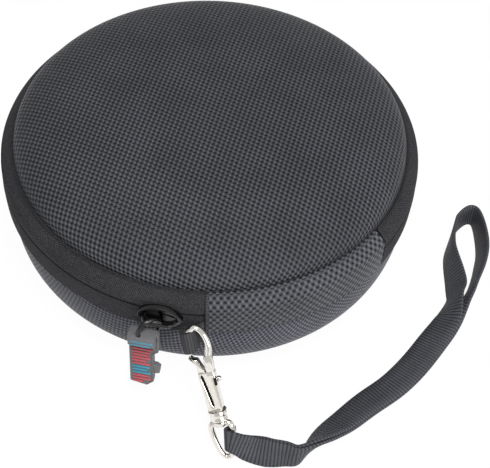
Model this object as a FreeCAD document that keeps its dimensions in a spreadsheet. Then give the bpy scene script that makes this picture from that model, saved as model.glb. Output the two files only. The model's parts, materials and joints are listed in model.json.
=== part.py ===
"""Round zip-up carrying case for folding headphones, with a wrist strap on a swivel clasp.

Row frame: millimetres, +Z up, origin at the centre of the foot, the clasp side towards -Y.
"""
import FreeCAD, Part
import math
import os
import Sketcher

V = FreeCAD.Vector

# ---------------------------------------------------------------- driving sizes
SIZES = [
    # shells
    ("base_radius", 72.4, "outside radius of the lower shell's wall; the case's other radii follow it"),
    ("base_foot_radius", 36.0, "flat disc that the case stands on"),
    ("base_taper", 12.7, "rise of the underside outside that disc, degrees"),
    ("base_corner", 20.0, "outside radius between underside and wall"),
    ("lid_inset", 2.4, "how far the lid's wall stands inside the lower shell's"),
    ("lid_radius", "base_radius - lid_inset", "outside radius of the lid's wall"),
    ("lid_top", 64.7, "height of the closed case"),
    ("lid_slope", 42.0, "width of the sloping ring round the lid's flat middle"),
    ("lid_flat_radius", "lid_radius - lid_slope", "flat middle of the lid"),
    ("lid_taper", 8.4, "fall of the lid outside its middle, degrees"),
    ("lid_corner", 8.1, "outside radius between lid top and wall"),
    ("skin", 0.7, "ballistic nylon laminate"),
    ("core", 2.3, "moulded EVA foam"),
    ("lining", 0.5, "inner knit lining"),
    ("binding", 0.6, "ribbon that covers a cut edge"),
    ("seat_gap", 0.3, "air between curved faces that lie against each other"),
    ("binding_flap", 2.2, "how far the ribbon laps over the lining"),
    # zip
    ("zip_height", 43.9, "height of the line where the tapes meet"),
    ("zip_stand", 2.4, "how far the tapes stand out past the lower shell's wall there"),
    ("zip_radius", "base_radius + zip_stand", "outside radius of the tapes there"),
    ("zip_gap", 0.9, "gap between the two rows of coil"),
    ("tape", 0.8, "thickness of a zip tape"),
    ("tape_face", 3.5, "upright width of each tape beside the gap"),
    ("seam_height", 34.6, "lower edge of the lower tape"),
    ("seam_stand", 2.0, "how far it stands out past the lower shell's wall"),
    ("seam_radius", "base_radius + seam_stand", "outside radius there"),
    ("crease_height", 51.1, "upper edge of the upper tape"),
    ("crease_inset", 1.5, "how far it stands inside the lower shell's wall"),
    ("crease_radius", "base_radius - crease_inset", "outside radius there"),
    ("coil_width", 2.4, "height of one row of coil"),
    ("coil_depth", 1.5, "thickness of the coil"),
    ("rim_clear", 5.6, "from the zip line to either shell's rim"),
    ("hinge_start", -90.0, "bearing of the hinge panel's left end, degrees"),
    ("hinge_sweep", 54.0, "angle that the hinge panel covers, degrees"),
    ("end_gap", 0.25, "slit between tape end and hinge panel, degrees"),
    # mesh pocket in the lid
    ("pocket_height", 53.6, "height of the mesh"),
    ("pocket_reach", 12.0, "how far the pocket's mouth is past the middle"),
    ("mesh", 0.6, "thickness of the mesh"),
    ("elastic", 2.4, "diameter of the elastic at the pocket's mouth"),
    # slider and its pull
    ("slider_bearing", -101.3, "bearing of the parked slider, degrees"),
    ("slider_length", 14.0, "length of the slider"),
    ("slider_width", 8.6, "width of the slider"),
    ("slider_plate", 1.3, "thickness of each plate"),
    ("slider_play", 0.9, "air between tape and outer plate"),
    ("slider_web", 0.5, "thickness of the wedge between the coils"),
    ("slider_flange", 0.9, "thickness of the flange under the fixed coil"),
    ("coil_play", 0.6, "air between the coils and the inner plate"),
    ("bridge_length", 10.8, "length of the bridge over the outer plate"),
    ("bridge_wire", 1.3, "thickness of the bridge"),
    ("bridge_inset", 0.4, "how far its shoulders lean in, as a share of its height"),
    ("ring_radius", 4.1, "middle radius of the pull ring"),
    ("ring_wire", 1.4, "wire of the pull ring"),
    ("ring_yaw", 42.0, "how far the ring is turned from the case wall, degrees"),
    ("ring_offset", 2.9, "how far the ring hangs from the middle of the bridge"),
    ("ring_play", 0.1, "air between the ring and the bridge bar"),
    ("ring_clear", 0.3, "air between the ring and the outer plate"),
    ("bridge_rise", "ring_radius * sin(ring_yaw * 1 deg) + (ring_wire + bridge_wire) / 2 + ring_clear",
     "outer plate to the top of the bridge"),
    ("tag_length", 29.5, "length of the rubber tag"),
    ("tag_width", 9.2, "width of the rubber tag"),
    ("tag_thick", 2.6, "thickness of the rubber tag"),
    ("tag_hang", 0.7, "share of that width that lies on the trailing side of its hole"),
    ("tag_eye", 1.5, "rubber above the ring"),
    ("tag_play", 0.12, "air round the ring in its hole"),
    # clasp
    ("tab_width", 7.6, "ribbon loop that holds the clasp"),
    ("tab_thick", 0.7, "one ply of that ribbon"),
    ("tab_play", 0.25, "air between the ribbon and the hook's leg"),
    ("tab_stand", 8.6, "how far the ribbon's eye stands out past the lower shell's wall"),
    ("tab_radius", "base_radius + tab_stand", "distance of the ribbon's eye from the case's middle"),
    ("tab_bearing", -94.0, "bearing of the eye, degrees"),
    ("tab_height", 36.8, "height of the eye's middle"),
    ("clasp_lean", 29.0, "how far the clasp leans away from the wall, degrees"),
    ("clasp_side", 14.0, "how far it leans to the side, degrees"),
    ("clasp_roll", 10.0, "how far it is rolled about its own length, degrees"),
    ("hook_wire", 2.2, "thickness of the hook's bow"),
    ("hook_inside", 4.2, "from the clasp's middle line to the straight leg of the bow"),
    ("hook_corner", 2.1, "radius where the leg turns into the bow"),
    ("tip_reach", 0.9, "how far the leg goes on below the ribbon"),
    ("body_top", 12.0, "apex of the bow to the top of the clasp body"),
    ("body_length", 20.5, "length of the clasp body"),
    ("body_width", 6.6, "width of the clasp body"),
    ("body_thick", 3.8, "thickness of the clasp body"),
    ("gate_thick", 1.4, "thickness of the gate lever"),
    ("gate_play", 0.15, "air on each side of the gate lever"),
    ("gate_pivot_across", -0.6, "place of the rivet from the clasp's middle line"),
    ("gate_pivot_down", 5.6, "place of the rivet below the top of the body"),
    ("window_width", 1.5, "width of the slot in the front of the body"),
    ("window_length", 9.5, "length of that slot"),
    ("rivet", 1.5, "diameter of the gate rivet"),
    ("rivet_play", 0.05, "air round the rivet, on the radius"),
    ("stem", 2.2, "diameter of the swivel stem"),
    ("stem_play", 0.06, "air round the stem, on the radius"),
    ("stem_head", 0.6, "how far the stem's head stands out, on the radius"),
    ("collar", 3.4, "length of the collar that the stem turns in"),
    ("eye_wire", 2.0, "wire of the swivel eye"),
    ("eye_width", 8.4, "width of the swivel eye at its shoulders, wire middle to wire middle"),
    ("eye_foot", 3.8, "width at its foot, likewise"),
    ("eye_height", 12.0, "shoulders to foot, likewise"),
    ("eye_gap", 0.4, "air between the collar and the eye"),
    # wrist strap
    ("web_width", 10.5, "width of the strap webbing"),
    ("web_thick", 1.2, "thickness of one layer of webbing"),
    ("web_gap", 0.3, "air between the two layers"),
    ("gather", 0.74, "share of its width that the webbing keeps where it is gathered in the eye"),
    ("cuff_gap", 0.5, "air between the webbing and the wire it is folded round"),
    ("cuff_place", 0.55, "place of the fold on the eye's limb, as a share from its shoulder"),
    ("floor_gap", 0.25, "air under the strap"),
]


class Size:
    """A number together with the sheet formula that gives it."""

    def __init__(self, value, formula):
        self.value = value
        self.formula = formula

    def __add__(self, other):
        other = as_size(other)
        return Size(self.value + other.value, f"({self.formula} + {other.formula})")

    def __sub__(self, other):
        other = as_size(other)
        return Size(self.value - other.value, f"({self.formula} - {other.formula})")

    def __mul__(self, other):
        other = as_size(other)
        return Size(self.value * other.value, f"({self.formula} * {other.formula})")

    def __truediv__(self, other):
        other = as_size(other)
        return Size(self.value / other.value, f"({self.formula} / {other.formula})")

    def __neg__(self):
        return Size(-self.value, f"(0 - {self.formula})")

    __radd__ = __add__

    def __rsub__(self, other):
        return as_size(other) - self

    def __rmul__(self, other):
        return self * other


def as_size(number):
    return number if isinstance(number, Size) else Size(float(number), f"{float(number):g}")


def tangent(angle):
    return Size(math.tan(math.radians(angle.value)), f"tan({angle.formula} * 1 deg)")


def cosine(angle):
    return Size(math.cos(math.radians(angle.value)), f"cos({angle.formula} * 1 deg)")


doc = FreeCAD.newDocument("headphone_case")
sheet = doc.addObject("Spreadsheet::Sheet", "sizes")


def fill_sheet():
    """Put every driving size into the sheet and hand back a lookup of Size values."""
    for row, (alias, value, meaning) in enumerate(SIZES, start=1):
        sheet.set(f"A{row}", meaning)
        sheet.set(f"B{row}", f"={value}" if isinstance(value, str) else f"{value:g}")
        sheet.setAlias(f"B{row}", alias)
    doc.recompute()
    return {alias: Size(float(sheet.get(alias)), f"sizes.{alias}") for alias, _, _ in SIZES}


S = fill_sheet()
N = {alias: size.value for alias, size in S.items()}
ZERO = as_size(0)
KEPT = []                       # the sub-parts, in the order they are made


# ---------------------------------------------------------------- shared helpers
def origin_plane(body, role):
    return next(item for item in body.Origin.OriginFeatures if item.Role == role)


def new_body(name, kept=False):
    body = doc.addObject("PartDesign::Body", name)
    body.Label = name
    if kept:
        KEPT.append(body)
    return body


def outline(body, name, plane, corners, lift=None):
    """Closed sketch of straight edges; each corner is (across, up) as Size values."""
    sketch = body.newObject("Sketcher::SketchObject", name)
    sketch.AttachmentSupport = (origin_plane(body, plane), [""])
    sketch.MapMode = "FlatFace"
    if lift is not None:
        sketch.AttachmentOffset = FreeCAD.Placement(V(0, 0, lift.value), FreeCAD.Rotation())
        sketch.setExpression("AttachmentOffset.Base.z", lift.formula)
    corners = [(as_size(across), as_size(up)) for across, up in corners]
    points = [V(across.value, up.value, 0) for across, up in corners]
    count = len(points)
    for index in range(count):
        sketch.addGeometry(Part.LineSegment(points[index], points[(index + 1) % count]), False)
    for index in range(count):
        sketch.addConstraint(Sketcher.Constraint("Coincident", index, 2, (index + 1) % count, 1))
    for index, corner in enumerate(corners):
        for kind, axis, size in (("DistanceX", -2, corner[0]), ("DistanceY", -1, corner[1])):
            if size.value == 0:
                sketch.addConstraint(Sketcher.Constraint("PointOnObject", index, 1, axis))
                continue
            number = sketch.addConstraint(Sketcher.Constraint(kind, -1, 1, index, 1, size.value))
            sketch.renameConstraint(number, f"{kind}_{index}")
            sketch.setExpression(f"Constraints.{kind}_{index}", size.formula)
    return sketch


def revolve(body, kind, sketch, angle=None):
    """Revolution or Groove of a sketch about the body's upright axis."""
    feature = body.newObject(f"PartDesign::{kind}", kind)
    feature.Profile = sketch
    feature.ReferenceAxis = (sketch, ["V_Axis"])
    feature.Angle = 360.0
    if angle is not None:
        feature.setExpression("Angle", f"{angle.formula} * 1 deg")
    doc.recompute()
    return feature


def pad(body, sketch, length, both=False):
    feature = body.newObject("PartDesign::Pad", "Pad")
    feature.Profile = sketch
    feature.setExpression("Length", length.formula)
    feature.Midplane = both
    doc.recompute()
    return feature


def round_edges(body, radius, chosen):
    """Fillet the edges of the body's tip that the chosen test picks."""
    names = [f"Edge{number}" for number, edge in enumerate(body.Tip.Shape.Edges, start=1) if chosen(edge)]
    if not names:
        raise RuntimeError(f"{body.Label}: no edge to round")
    feature = body.newObject("PartDesign::Fillet", "Fillet")
    feature.Base = (body.Tip if body.Tip != feature else feature.BaseFeature, names)
    feature.setExpression("Radius", radius.formula)
    doc.recompute()
    return feature


def circle_at(radius, height):
    """Test for a full circle of that radius about Z, at that height."""
    def test(edge):
        curve = edge.Curve
        return (isinstance(curve, Part.Circle) and abs(curve.Radius - radius.value) < 0.02
                and abs(curve.Center.z - height.value) < 0.02)
    return test


def turn(body, bearing):
    """Turn a body about the case's upright axis."""
    body.Placement = FreeCAD.Placement(V(0, 0, 0), FreeCAD.Rotation(V(0, 0, 1), bearing.value))
    body.setExpression("Placement.Rotation.Angle", f"{bearing.formula} * 1 deg")


def feature_of(name, shape, placement=None):
    """A sub-part whose shape is set directly."""
    item = doc.addObject("Part::Feature", name)
    item.Label = name
    item.Shape = shape
    if placement is not None:
        item.Placement = placement
    KEPT.append(item)
    return item


def rod(start, end, diameter):
    axis = end - start
    return Part.makeCylinder(diameter / 2, axis.Length, start, axis)


def arc_on(start, heading, end):
    """Arc that leaves start along heading and reaches end, in the XZ plane."""
    heading = V(heading).normalize()
    chord = end - start
    side = V(heading.z, 0, -heading.x)
    reach = chord.Length ** 2 / (2 * chord.dot(side))
    centre = start + side * reach
    middle = (start + end) * 0.5 - centre
    middle = centre + middle.normalize() * abs(reach)
    return Part.Arc(start, middle, end).toShape()


def swept(edges, diameter):
    """Round wire along a chain of edges."""
    path = Part.Wire(edges)
    first = path.Edges[0]
    start = first.valueAt(first.FirstParameter)
    heading = first.tangentAt(first.FirstParameter)
    ring = Part.Wire(Part.makeCircle(diameter / 2, start, heading))
    return path.makePipeShell([ring], True, True)


# ---------------------------------------------------------------- shells
def wall_foot(shell, depth):
    """Two corners of a shell's section at a depth under its outside: foot edge and wall edge."""
    flat = S["base_foot_radius"] if shell == "base" else S["lid_flat_radius"]
    radius, taper = S[f"{shell}_radius"], S[f"{shell}_taper"]
    rise = (radius - flat) * tangent(taper) + depth * (as_size(1) / cosine(taper) - tangent(taper))
    return (flat - depth * tangent(taper / 2), depth), (radius - depth, rise)


def level(shell, height):
    """Height of a point given by its distance from the shell's outermost level."""
    return height if shell == "base" else S["lid_top"] - height


def filling(shell, name, depth, rim_corners):
    """Solid of everything inside a depth, up to the given rim corners."""
    foot, wall = wall_foot(shell, depth)
    body = new_body(f"{shell}_{name}_filling")
    section = [(ZERO, level(shell, foot[1])), (foot[0], level(shell, foot[1])),
               (wall[0], level(shell, wall[1]))] + rim_corners + [(ZERO, rim_corners[-1][1])]
    revolve(body, "Revolution", outline(body, "section", "XZ_Plane", section))
    round_edges(body, S[f"{shell}_corner"] - depth, circle_at(wall[0], level(shell, wall[1])))
    return body


def between(name, outer, inner):
    """Sub-part that is one filling less the next."""
    layer = doc.addObject("Part::Cut", name)
    layer.Label = name
    layer.Base, layer.Tool = outer, inner
    KEPT.append(layer)
    doc.recompute()
    return layer


def make_shells():
    """Outer fabric, foam and lining of both shells, each the space between two fillings."""
    for shell in ("base", "lid"):
        sign = -1 if shell == "base" else 1
        rim = S["zip_height"] + sign * S["rim_clear"]
        edge = S["seam_height"] if shell == "base" else S["crease_height"]
        wall = S[f"{shell}_radius"]
        foam, inside = S["skin"] + S["core"], S["skin"] + S["core"] + S["lining"]
        flange = [(wall - S["skin"], edge), (tape_inside(shell, edge) - S["seat_gap"], edge),
                  (tape_inside(shell, rim) - S["seat_gap"], rim)]
        solids = [filling(shell, "whole", ZERO, [(wall, edge)]),
                  filling(shell, "foam", S["skin"], flange),
                  filling(shell, "lining", foam, [(wall - foam, rim)]),
                  filling(shell, "room", inside, [(wall - inside, rim)])]
        for name, outer, inner in zip(("outer_fabric", "foam_shell", "lining"), solids, solids[1:]):
            between(f"{shell}_{name}", outer, inner)
        make_binding(shell, rim, wall - inside)


def make_binding(shell, rim, wall):
    """Ribbon folded over a shell's rim: it covers the rim and laps over the lining."""
    sign = as_size(-1 if shell == "base" else 1)
    outer = tape_inside(shell, rim) - S["seat_gap"]
    body = new_body(f"{shell}_edge_binding", kept=True)
    section = [(wall, rim), (outer, rim), (outer, rim - sign * S["binding"]),
               (wall - S["binding"], rim - sign * S["binding"]),
               (wall - S["binding"], rim + sign * S["binding_flap"]), (wall, rim + sign * S["binding_flap"])]
    revolve(body, "Revolution", outline(body, "ribbon", "XZ_Plane", section))


# ---------------------------------------------------------------- zip
def tape_slope(shell):
    """Sideways run of a tape for each millimetre of height, away from the upright face."""
    if shell == "base":
        return (S["zip_radius"] - S["seam_radius"]) / (S["zip_height"] - S["tape_face"] - S["seam_height"])
    return (S["zip_radius"] - S["crease_radius"]) / (S["crease_height"] - S["zip_height"] - S["tape_face"])


def tape_inside(shell, height):
    """Radius of the tape's inner face at a height on its sloping part."""
    slope = tape_slope(shell)
    slant = Size(math.hypot(1, slope.value), f"sqrt(1 + {slope.formula} ^ 2)")
    fold = S["zip_height"] + (S["tape_face"] * (-1 if shell == "base" else 1))
    away = (fold - height) if shell == "base" else (height - fold)
    return S["zip_radius"] - slope * away - S["tape"] * slant


def tape_corners(shell, edge_level):
    """Outer and inner corners of a tape from its fold to its sewn edge."""
    sign = as_size(-1 if shell == "base" else 1)
    fold = S["zip_height"] + sign * S["tape_face"]
    slope = tape_slope(shell)
    shift = Size(math.tan(math.atan(slope.value) / 2), f"tan(atan({slope.formula}) / 2)")
    outer_edge = S["seam_radius"] if shell == "base" else S["crease_radius"]
    outer = [(S["zip_radius"], fold), (outer_edge, edge_level)]
    inner = [(tape_inside(shell, edge_level), edge_level),
             (S["zip_radius"] - S["tape"], fold - sign * S["tape"] * shift)]
    return outer, inner


def make_zip():
    sweep = as_size(360) - S["hinge_sweep"] - S["end_gap"] * 2
    start = S["hinge_start"] + S["hinge_sweep"] + S["end_gap"]
    edge = {"base": S["seam_height"], "lid": S["crease_height"]}
    corners = {}
    for shell, sign in (("base", as_size(-1)), ("lid", as_size(1))):
        outer, inner = tape_corners(shell, edge[shell])
        corners[shell] = (outer, inner)
        lip = S["zip_height"] + sign * S["zip_gap"] / 2
        body = new_body(f"{shell}_zip_tape", kept=True)
        section = [(S["zip_radius"], lip)] + outer + inner + [(S["zip_radius"] - S["tape"], lip)]
        revolve(body, "Revolution", outline(body, "tape", "XZ_Plane", section), sweep)
        turn(body, start)
        coil = new_body(f"{shell}_zip_coil", kept=True)
        inside = S["zip_radius"] - S["tape"]
        far = lip + sign * S["coil_width"]
        deep = inside - S["coil_depth"]
        section = [(inside, lip), (inside, far), (deep, far), (deep, lip)]
        revolve(coil, "Revolution", outline(coil, "coil", "XZ_Plane", section), sweep)
        turn(coil, start)
    panel = new_body("hinge_panel", kept=True)
    outer = list(reversed(corners["base"][0])) + corners["lid"][0]
    inner = corners["lid"][1] + list(reversed(corners["base"][1]))
    revolve(panel, "Revolution", outline(panel, "panel", "XZ_Plane", outer + inner),
            S["hinge_sweep"] - S["end_gap"] * 2)
    turn(panel, S["hinge_start"] + S["end_gap"])
    make_hinge_lining()


def make_hinge_lining():
    """Strip of lining across the inside of the hinge, from one bound edge to the other."""
    lining = S["skin"] + S["core"] + S["lining"] + S["binding"] + S["seat_gap"]
    low, high = S["base_radius"] - lining, S["lid_radius"] - lining
    rim = S["rim_clear"] + S["binding"]
    flap = S["binding_flap"]
    faces = [(low, S["zip_height"] - rim - flap), (low, S["zip_height"] - rim),
             (high, S["zip_height"] + rim), (high, S["zip_height"] + rim + flap)]
    section = faces + [(across - S["lining"], up) for across, up in reversed(faces)]
    body = new_body("hinge_lining", kept=True)
    revolve(body, "Revolution", outline(body, "strip", "XZ_Plane", section), S["hinge_sweep"])
    turn(body, S["hinge_start"])


# ---------------------------------------------------------------- mesh pocket
def room_reach(height):
    """Radius of the lid's inside at a height, less a little air."""
    room = doc.getObject("lid_room_filling").Shape
    ray = Part.makeLine(V(0, 0, height), V(2 * N["lid_radius"], 0, height))
    return ray.common(room).Length - N["seat_gap"] / 3


def make_pocket():
    """Flat mesh across part of the lid's inside, and the elastic along its mouth."""
    mouth, height, radius = -N["pocket_reach"], N["pocket_height"], N["elastic"] / 2
    wall = room_reach(height + N["mesh"])
    hinge = N["hinge_start"] + N["hinge_sweep"] / 2
    placed = FreeCAD.Placement(V(0, 0, 0), FreeCAD.Rotation(V(0, 0, 1), hinge))
    disc = Part.makeCylinder(wall, N["mesh"], V(0, 0, height))
    keep = Part.makeBox(2 * wall, 2 * wall, 4 * N["mesh"], V(mouth, -wall, height - N["mesh"]))
    feature_of("lid_mesh_pocket", disc.common(keep), placed)
    middle = height + N["mesh"] / 2
    half = math.sqrt(room_reach(middle + radius) ** 2 - (mouth - 2 * radius) ** 2) - N["seat_gap"] / 3
    band = rod(V(mouth - radius, -half, middle), V(mouth - radius, half, middle), N["elastic"])
    feature_of("pocket_elastic", band, placed)


# ---------------------------------------------------------------- slider and pull
def slider_frame():
    """Slider parts are made at bearing zero and turned into place."""
    return FreeCAD.Placement(V(0, 0, 0), FreeCAD.Rotation(V(0, 0, 1), N["slider_bearing"]))


def leaf(length, width, tip, tail):
    """Slider outline: wide shoulders near the leading end, narrow tail."""
    half, side = length / 2, width / 2
    return [(-half, -side * tail), (-half, side * tail), (-length * 0.12, side), (length * 0.3, side),
            (half, side * tip), (half, -side * tip), (length * 0.3, -side), (-length * 0.12, -side)]


def make_slider():
    """Outer plate, wedge and inner plate in one casting; the lower flange holds the fixed coil."""
    body = new_body("slider_body", kept=True)
    length, width, plate = S["slider_length"], S["slider_width"], S["slider_plate"]
    face = S["zip_radius"] + S["slider_play"]
    back = S["zip_radius"] - S["tape"] - S["coil_depth"] - S["coil_play"]
    shape = [(across, up + S["zip_height"]) for across, up in leaf(length, width, 0.34, 0.5)]
    pad(body, outline(body, "outer_plate", "YZ_Plane", shape, face), plate)
    round_edges(body, plate * 0.6, lambda edge: abs(edge.CenterOfMass.x - (face + plate).value) < 1e-3)
    shape = [(across, up + S["zip_height"]) for across, up in leaf(length * 0.9, width, 0.6, 0.7)]
    pad(body, outline(body, "inner_plate", "YZ_Plane", shape, back - plate), plate)
    web = S["slider_web"] / 2
    front, rear = length * 0.45, length * 0.12
    wedge = [(rear, S["zip_height"]), (length * 0.24, S["zip_height"] - web), (front, S["zip_height"] - web),
             (front, S["zip_height"] + web), (length * 0.24, S["zip_height"] + web)]
    pad(body, outline(body, "wedge", "YZ_Plane", wedge, back - plate / 2), face - back + plate)
    low = S["zip_height"] - width / 2
    high = low + S["slider_flange"]
    flange = [(length * -0.12, low), (length * 0.27, low), (length * 0.27, high), (length * -0.12, high)]
    pad(body, outline(body, "lower_flange", "YZ_Plane", flange, back - plate / 2),
        S["coil_depth"] + plate / 2 + 0.2)
    turn(body, S["slider_bearing"])


def bridge_line():
    """Distance of the bridge bar's middle line from the case's axis."""
    return (N["zip_radius"] + N["slider_play"] + N["slider_plate"] + N["bridge_rise"] - N["bridge_wire"] / 2)


def make_bridge():
    """Bent bar over the outer plate, standing on it with both feet."""
    plate = N["zip_radius"] + N["slider_play"] + N["slider_plate"]
    top, half, height = bridge_line(), N["bridge_length"] / 2, N["zip_height"]
    inset = (top - plate) * N["bridge_inset"]
    feet = [V(plate, -half, height), V(plate, half, height)]
    shoulders = [V(top, -half + inset, height), V(top, half - inset, height)]
    bend = 0.7
    left_mid = V(plate + (top - plate) * bend, -half + inset * 0.3, height)
    right_mid = V(plate + (top - plate) * bend, half - inset * 0.3, height)
    edges = [Part.Arc(feet[0], left_mid, shoulders[0]).toShape(), Part.makeLine(*shoulders),
             Part.Arc(shoulders[1], right_mid, feet[1]).toShape()]
    bar = swept(edges, N["bridge_wire"])
    feature_of("slider_bridge", bar, slider_frame())


def ring_centre():
    """The ring hangs on the bridge bar near its trailing end."""
    drop = N["ring_radius"] - N["ring_wire"] / 2 - N["bridge_wire"] / 2 - N["ring_play"]
    return V(bridge_line(), -N["ring_offset"], N["zip_height"] - drop)


def make_ring():
    centre = ring_centre()
    yaw = math.radians(N["ring_yaw"])
    normal = V(math.cos(yaw), math.sin(yaw), 0)
    ring = Part.makeTorus(N["ring_radius"], N["ring_wire"] / 2, centre, normal)
    feature_of("pull_ring", ring, slider_frame())


def tag_top():
    """Middle of the tag's hole, where the lowest part of the ring passes."""
    centre = ring_centre()
    return V(centre.x, centre.y, centre.z - N["ring_radius"])


def make_tag():
    """Rounded rubber tag; its eye is a tunnel round the lowest part of the ring."""
    hole = tag_top()
    width, thick, length = N["tag_width"], N["tag_thick"], N["tag_length"]
    above = N["ring_wire"] / 2 + N["tag_eye"]
    corner = V(hole.x - thick / 2, hole.y - width * N["tag_hang"], hole.z + above - length)
    block = Part.makeBox(thick, width, length, corner)
    upright = [edge for edge in block.Edges
               if abs(edge.tangentAt(edge.FirstParameter).x) > 0.9]
    block = block.makeFillet(width * 0.28, upright)
    rims = [edge for face in block.Faces if abs(face.normalAt(0, 0).x) > 0.99 for edge in face.Edges]
    block = block.makeFillet(thick * 0.22, rims)
    yaw = math.radians(N["ring_yaw"])
    normal = V(math.cos(yaw), math.sin(yaw), 0)
    tunnel = Part.makeTorus(N["ring_radius"], N["ring_wire"] / 2 + N["tag_play"], ring_centre(), normal)
    feature_of("pull_tag", block.cut(tunnel), slider_frame())


# ---------------------------------------------------------------- clasp
def ribbon_eye(height):
    """Point at a height on the upright line through the ribbon's eye."""
    bearing = math.radians(N["tab_bearing"])
    return V(N["tab_radius"] * math.cos(bearing), N["tab_radius"] * math.sin(bearing), height)


def clasp_frame():
    """Clasp frame: X across, -Y the front, Z up its length with zero at the bow's apex."""
    eye = ribbon_eye(N["tab_height"])
    turned = (FreeCAD.Rotation(V(1, 0, 0), -N["clasp_lean"]) * FreeCAD.Rotation(V(0, 1, 0), -N["clasp_side"])
              * FreeCAD.Rotation(V(0, 0, 1), -N["clasp_roll"]))
    return FreeCAD.Placement(eye - turned.multVec(leg_middle()), turned)


def leg_middle():
    """Middle of the straight leg of the bow, which hangs in the ribbon's eye."""
    return V(-N["hook_inside"], 0, -(N["hook_wire"] * 1.2 + N["tab_width"] / 2))


def tip_height():
    return leg_middle().z - N["tab_width"] / 2 - N["tip_reach"]


def make_hook():
    """Bow, cheeks and collar cast in one; the gate swings in a slot between the cheeks."""
    inside, wire = N["hook_inside"], N["hook_wire"]
    tip = V(-inside, 0, tip_height())
    turn_in = N["hook_corner"]
    bend = V(-inside, 0, -wire / 2 - turn_in)
    crown = V(-inside + turn_in * 1.5, 0, -wire / 2 - turn_in * 0.134)
    first = Part.Arc(bend, V(-inside + turn_in * 0.293, 0, -wire / 2 - turn_in * 0.293),
                     V(-inside + turn_in * 1.5, 0, -wire / 2 - turn_in * 0.134)).toShape()
    heading = first.tangentAt(first.LastParameter)
    foot = V(N["body_width"] / 2 - wire / 2, 0, -N["body_top"] - 1.5)
    bow = swept([Part.makeLine(tip, bend), first, arc_on(crown, heading, foot)], wire)
    bow = bow.fuse(Part.makeSphere(wire / 2, foot))
    top, bottom = -N["body_top"], -N["body_top"] - N["body_length"]
    half, thick = N["body_width"] / 2, N["body_thick"]
    block = Part.makeBox(2 * half, thick, N["body_length"], V(-half, -thick / 2, bottom))
    block = block.makeFillet(half * 0.55, [e for e in block.Edges if abs(e.tangentAt(0).y) > 0.9])
    rims = [edge for face in block.Faces if abs(face.normalAt(0, 0).y) > 0.99 for edge in face.Edges]
    block = block.makeFillet(0.8, rims)
    slot = N["gate_thick"] + 2 * N["gate_play"]
    pivot = gate_pivot()
    room = Part.makeBox(half + 0.2, slot, pivot.z + 2.4 - (bottom + 7.0),
                        V(-half - 0.1, -slot / 2, bottom + 7.0))
    nose_room = Part.makeBox(2 * half - 1.6, slot, top - pivot.z + 2.5,
                             V(-half - 0.1, -slot / 2, pivot.z - 2.4))
    knob_room = Part.makeBox(half + 1.0, slot, 6.4, V(0, -slot / 2, pivot.z - 5.0))
    window = Part.makeBox(N["window_width"], thick, N["window_length"],
                          V(-N["window_width"] / 2, -thick, bottom + 7.6))
    window.rotate(V(0, 0, bottom + 12), V(0, 1, 0), 6)
    window.translate(V(-1.1, 0, 0))
    bore = rod(pivot - V(0, thick, 0), pivot + V(0, thick, 0), N["rivet"])
    barrel = rod(V(0, 0, bottom + 0.5), V(0, 0, bottom - N["collar"]), N["body_width"] * 0.86)
    neck = rod(V(0, 0, bottom + 4.2), V(0, 0, bottom - N["collar"] - 1), N["stem"] + 2 * N["stem_play"])
    head = rod(V(0, 0, bottom + 1.2), V(0, 0, bottom + 4.2), N["stem"] + 2 * N["stem_head"] + 0.4)
    shape = bow.fuse([block, barrel]).cut([room, nose_room, knob_room, window, bore, neck, head])
    feature_of("clasp_hook", shape.removeSplitter(), clasp_frame())
    rivet = rod(pivot - V(0, thick / 2 + 0.25, 0), pivot + V(0, thick / 2 + 0.25, 0), N["rivet"])
    feature_of("gate_rivet", rivet, clasp_frame())


def gate_pivot():
    return V(N["gate_pivot_across"], 0, -N["body_top"] - N["gate_pivot_down"])


def make_gate():
    """Flat lever: the nose closes the hook under its tip, the knob stands out on the other side."""
    pivot, thick = gate_pivot(), N["gate_thick"]
    left = -N["hook_inside"]
    half = N["body_width"] / 2
    reach = N["hook_wire"] / 2
    swing = math.hypot(left + reach - pivot.x, tip_height() - pivot.z) - N["gate_play"]

    def nose(across):
        """Point of the nose that passes just under the bow's tip as the lever swings."""
        return V(across, 0, pivot.z + math.sqrt(swing ** 2 - (across - pivot.x) ** 2))

    points = [nose(left - reach * 0.8), nose(left), nose(left + reach * 0.8),
              V(-0.9, 0, pivot.z + 3.4), V(pivot.x + 1.5, 0, pivot.z + 0.9), V(half + 1.3, 0, pivot.z - 0.6),
              V(half + 1.5, 0, pivot.z - 2.6), V(half - 0.8, 0, pivot.z - 3.0),
              V(pivot.x - 0.9, 0, pivot.z - 1.6), V(left + 1.2, 0, pivot.z + 1.2)]
    face = Part.Face(Part.makePolygon(points + points[:1]))
    lever = face.extrude(V(0, thick, 0))
    lever.translate(V(0, -thick / 2, 0))
    bore = rod(pivot - V(0, thick, 0), pivot + V(0, thick, 0), N["rivet"] + 2 * N["rivet_play"])
    lever = lever.cut(bore)
    feature_of("gate_lever", lever, clasp_frame())
    spring = Part.makeBox(0.35, thick * 0.7, 5.2, V(-half + 1.5, -thick * 0.35, pivot.z - 8.0))
    feature_of("gate_spring", spring, clasp_frame())


def eye_corners():
    """Corners of the eye's middle line in the clasp frame: two shoulders, then the foot."""
    top = -N["body_top"] - N["body_length"] - N["collar"] - N["eye_gap"] - N["eye_wire"] / 2
    wide, narrow, foot = N["eye_width"] / 2, N["eye_foot"] / 2, top - N["eye_height"]
    return [V(-wide, 0, top), V(wide, 0, top), V(narrow, 0, foot), V(-narrow, 0, foot)]


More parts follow.
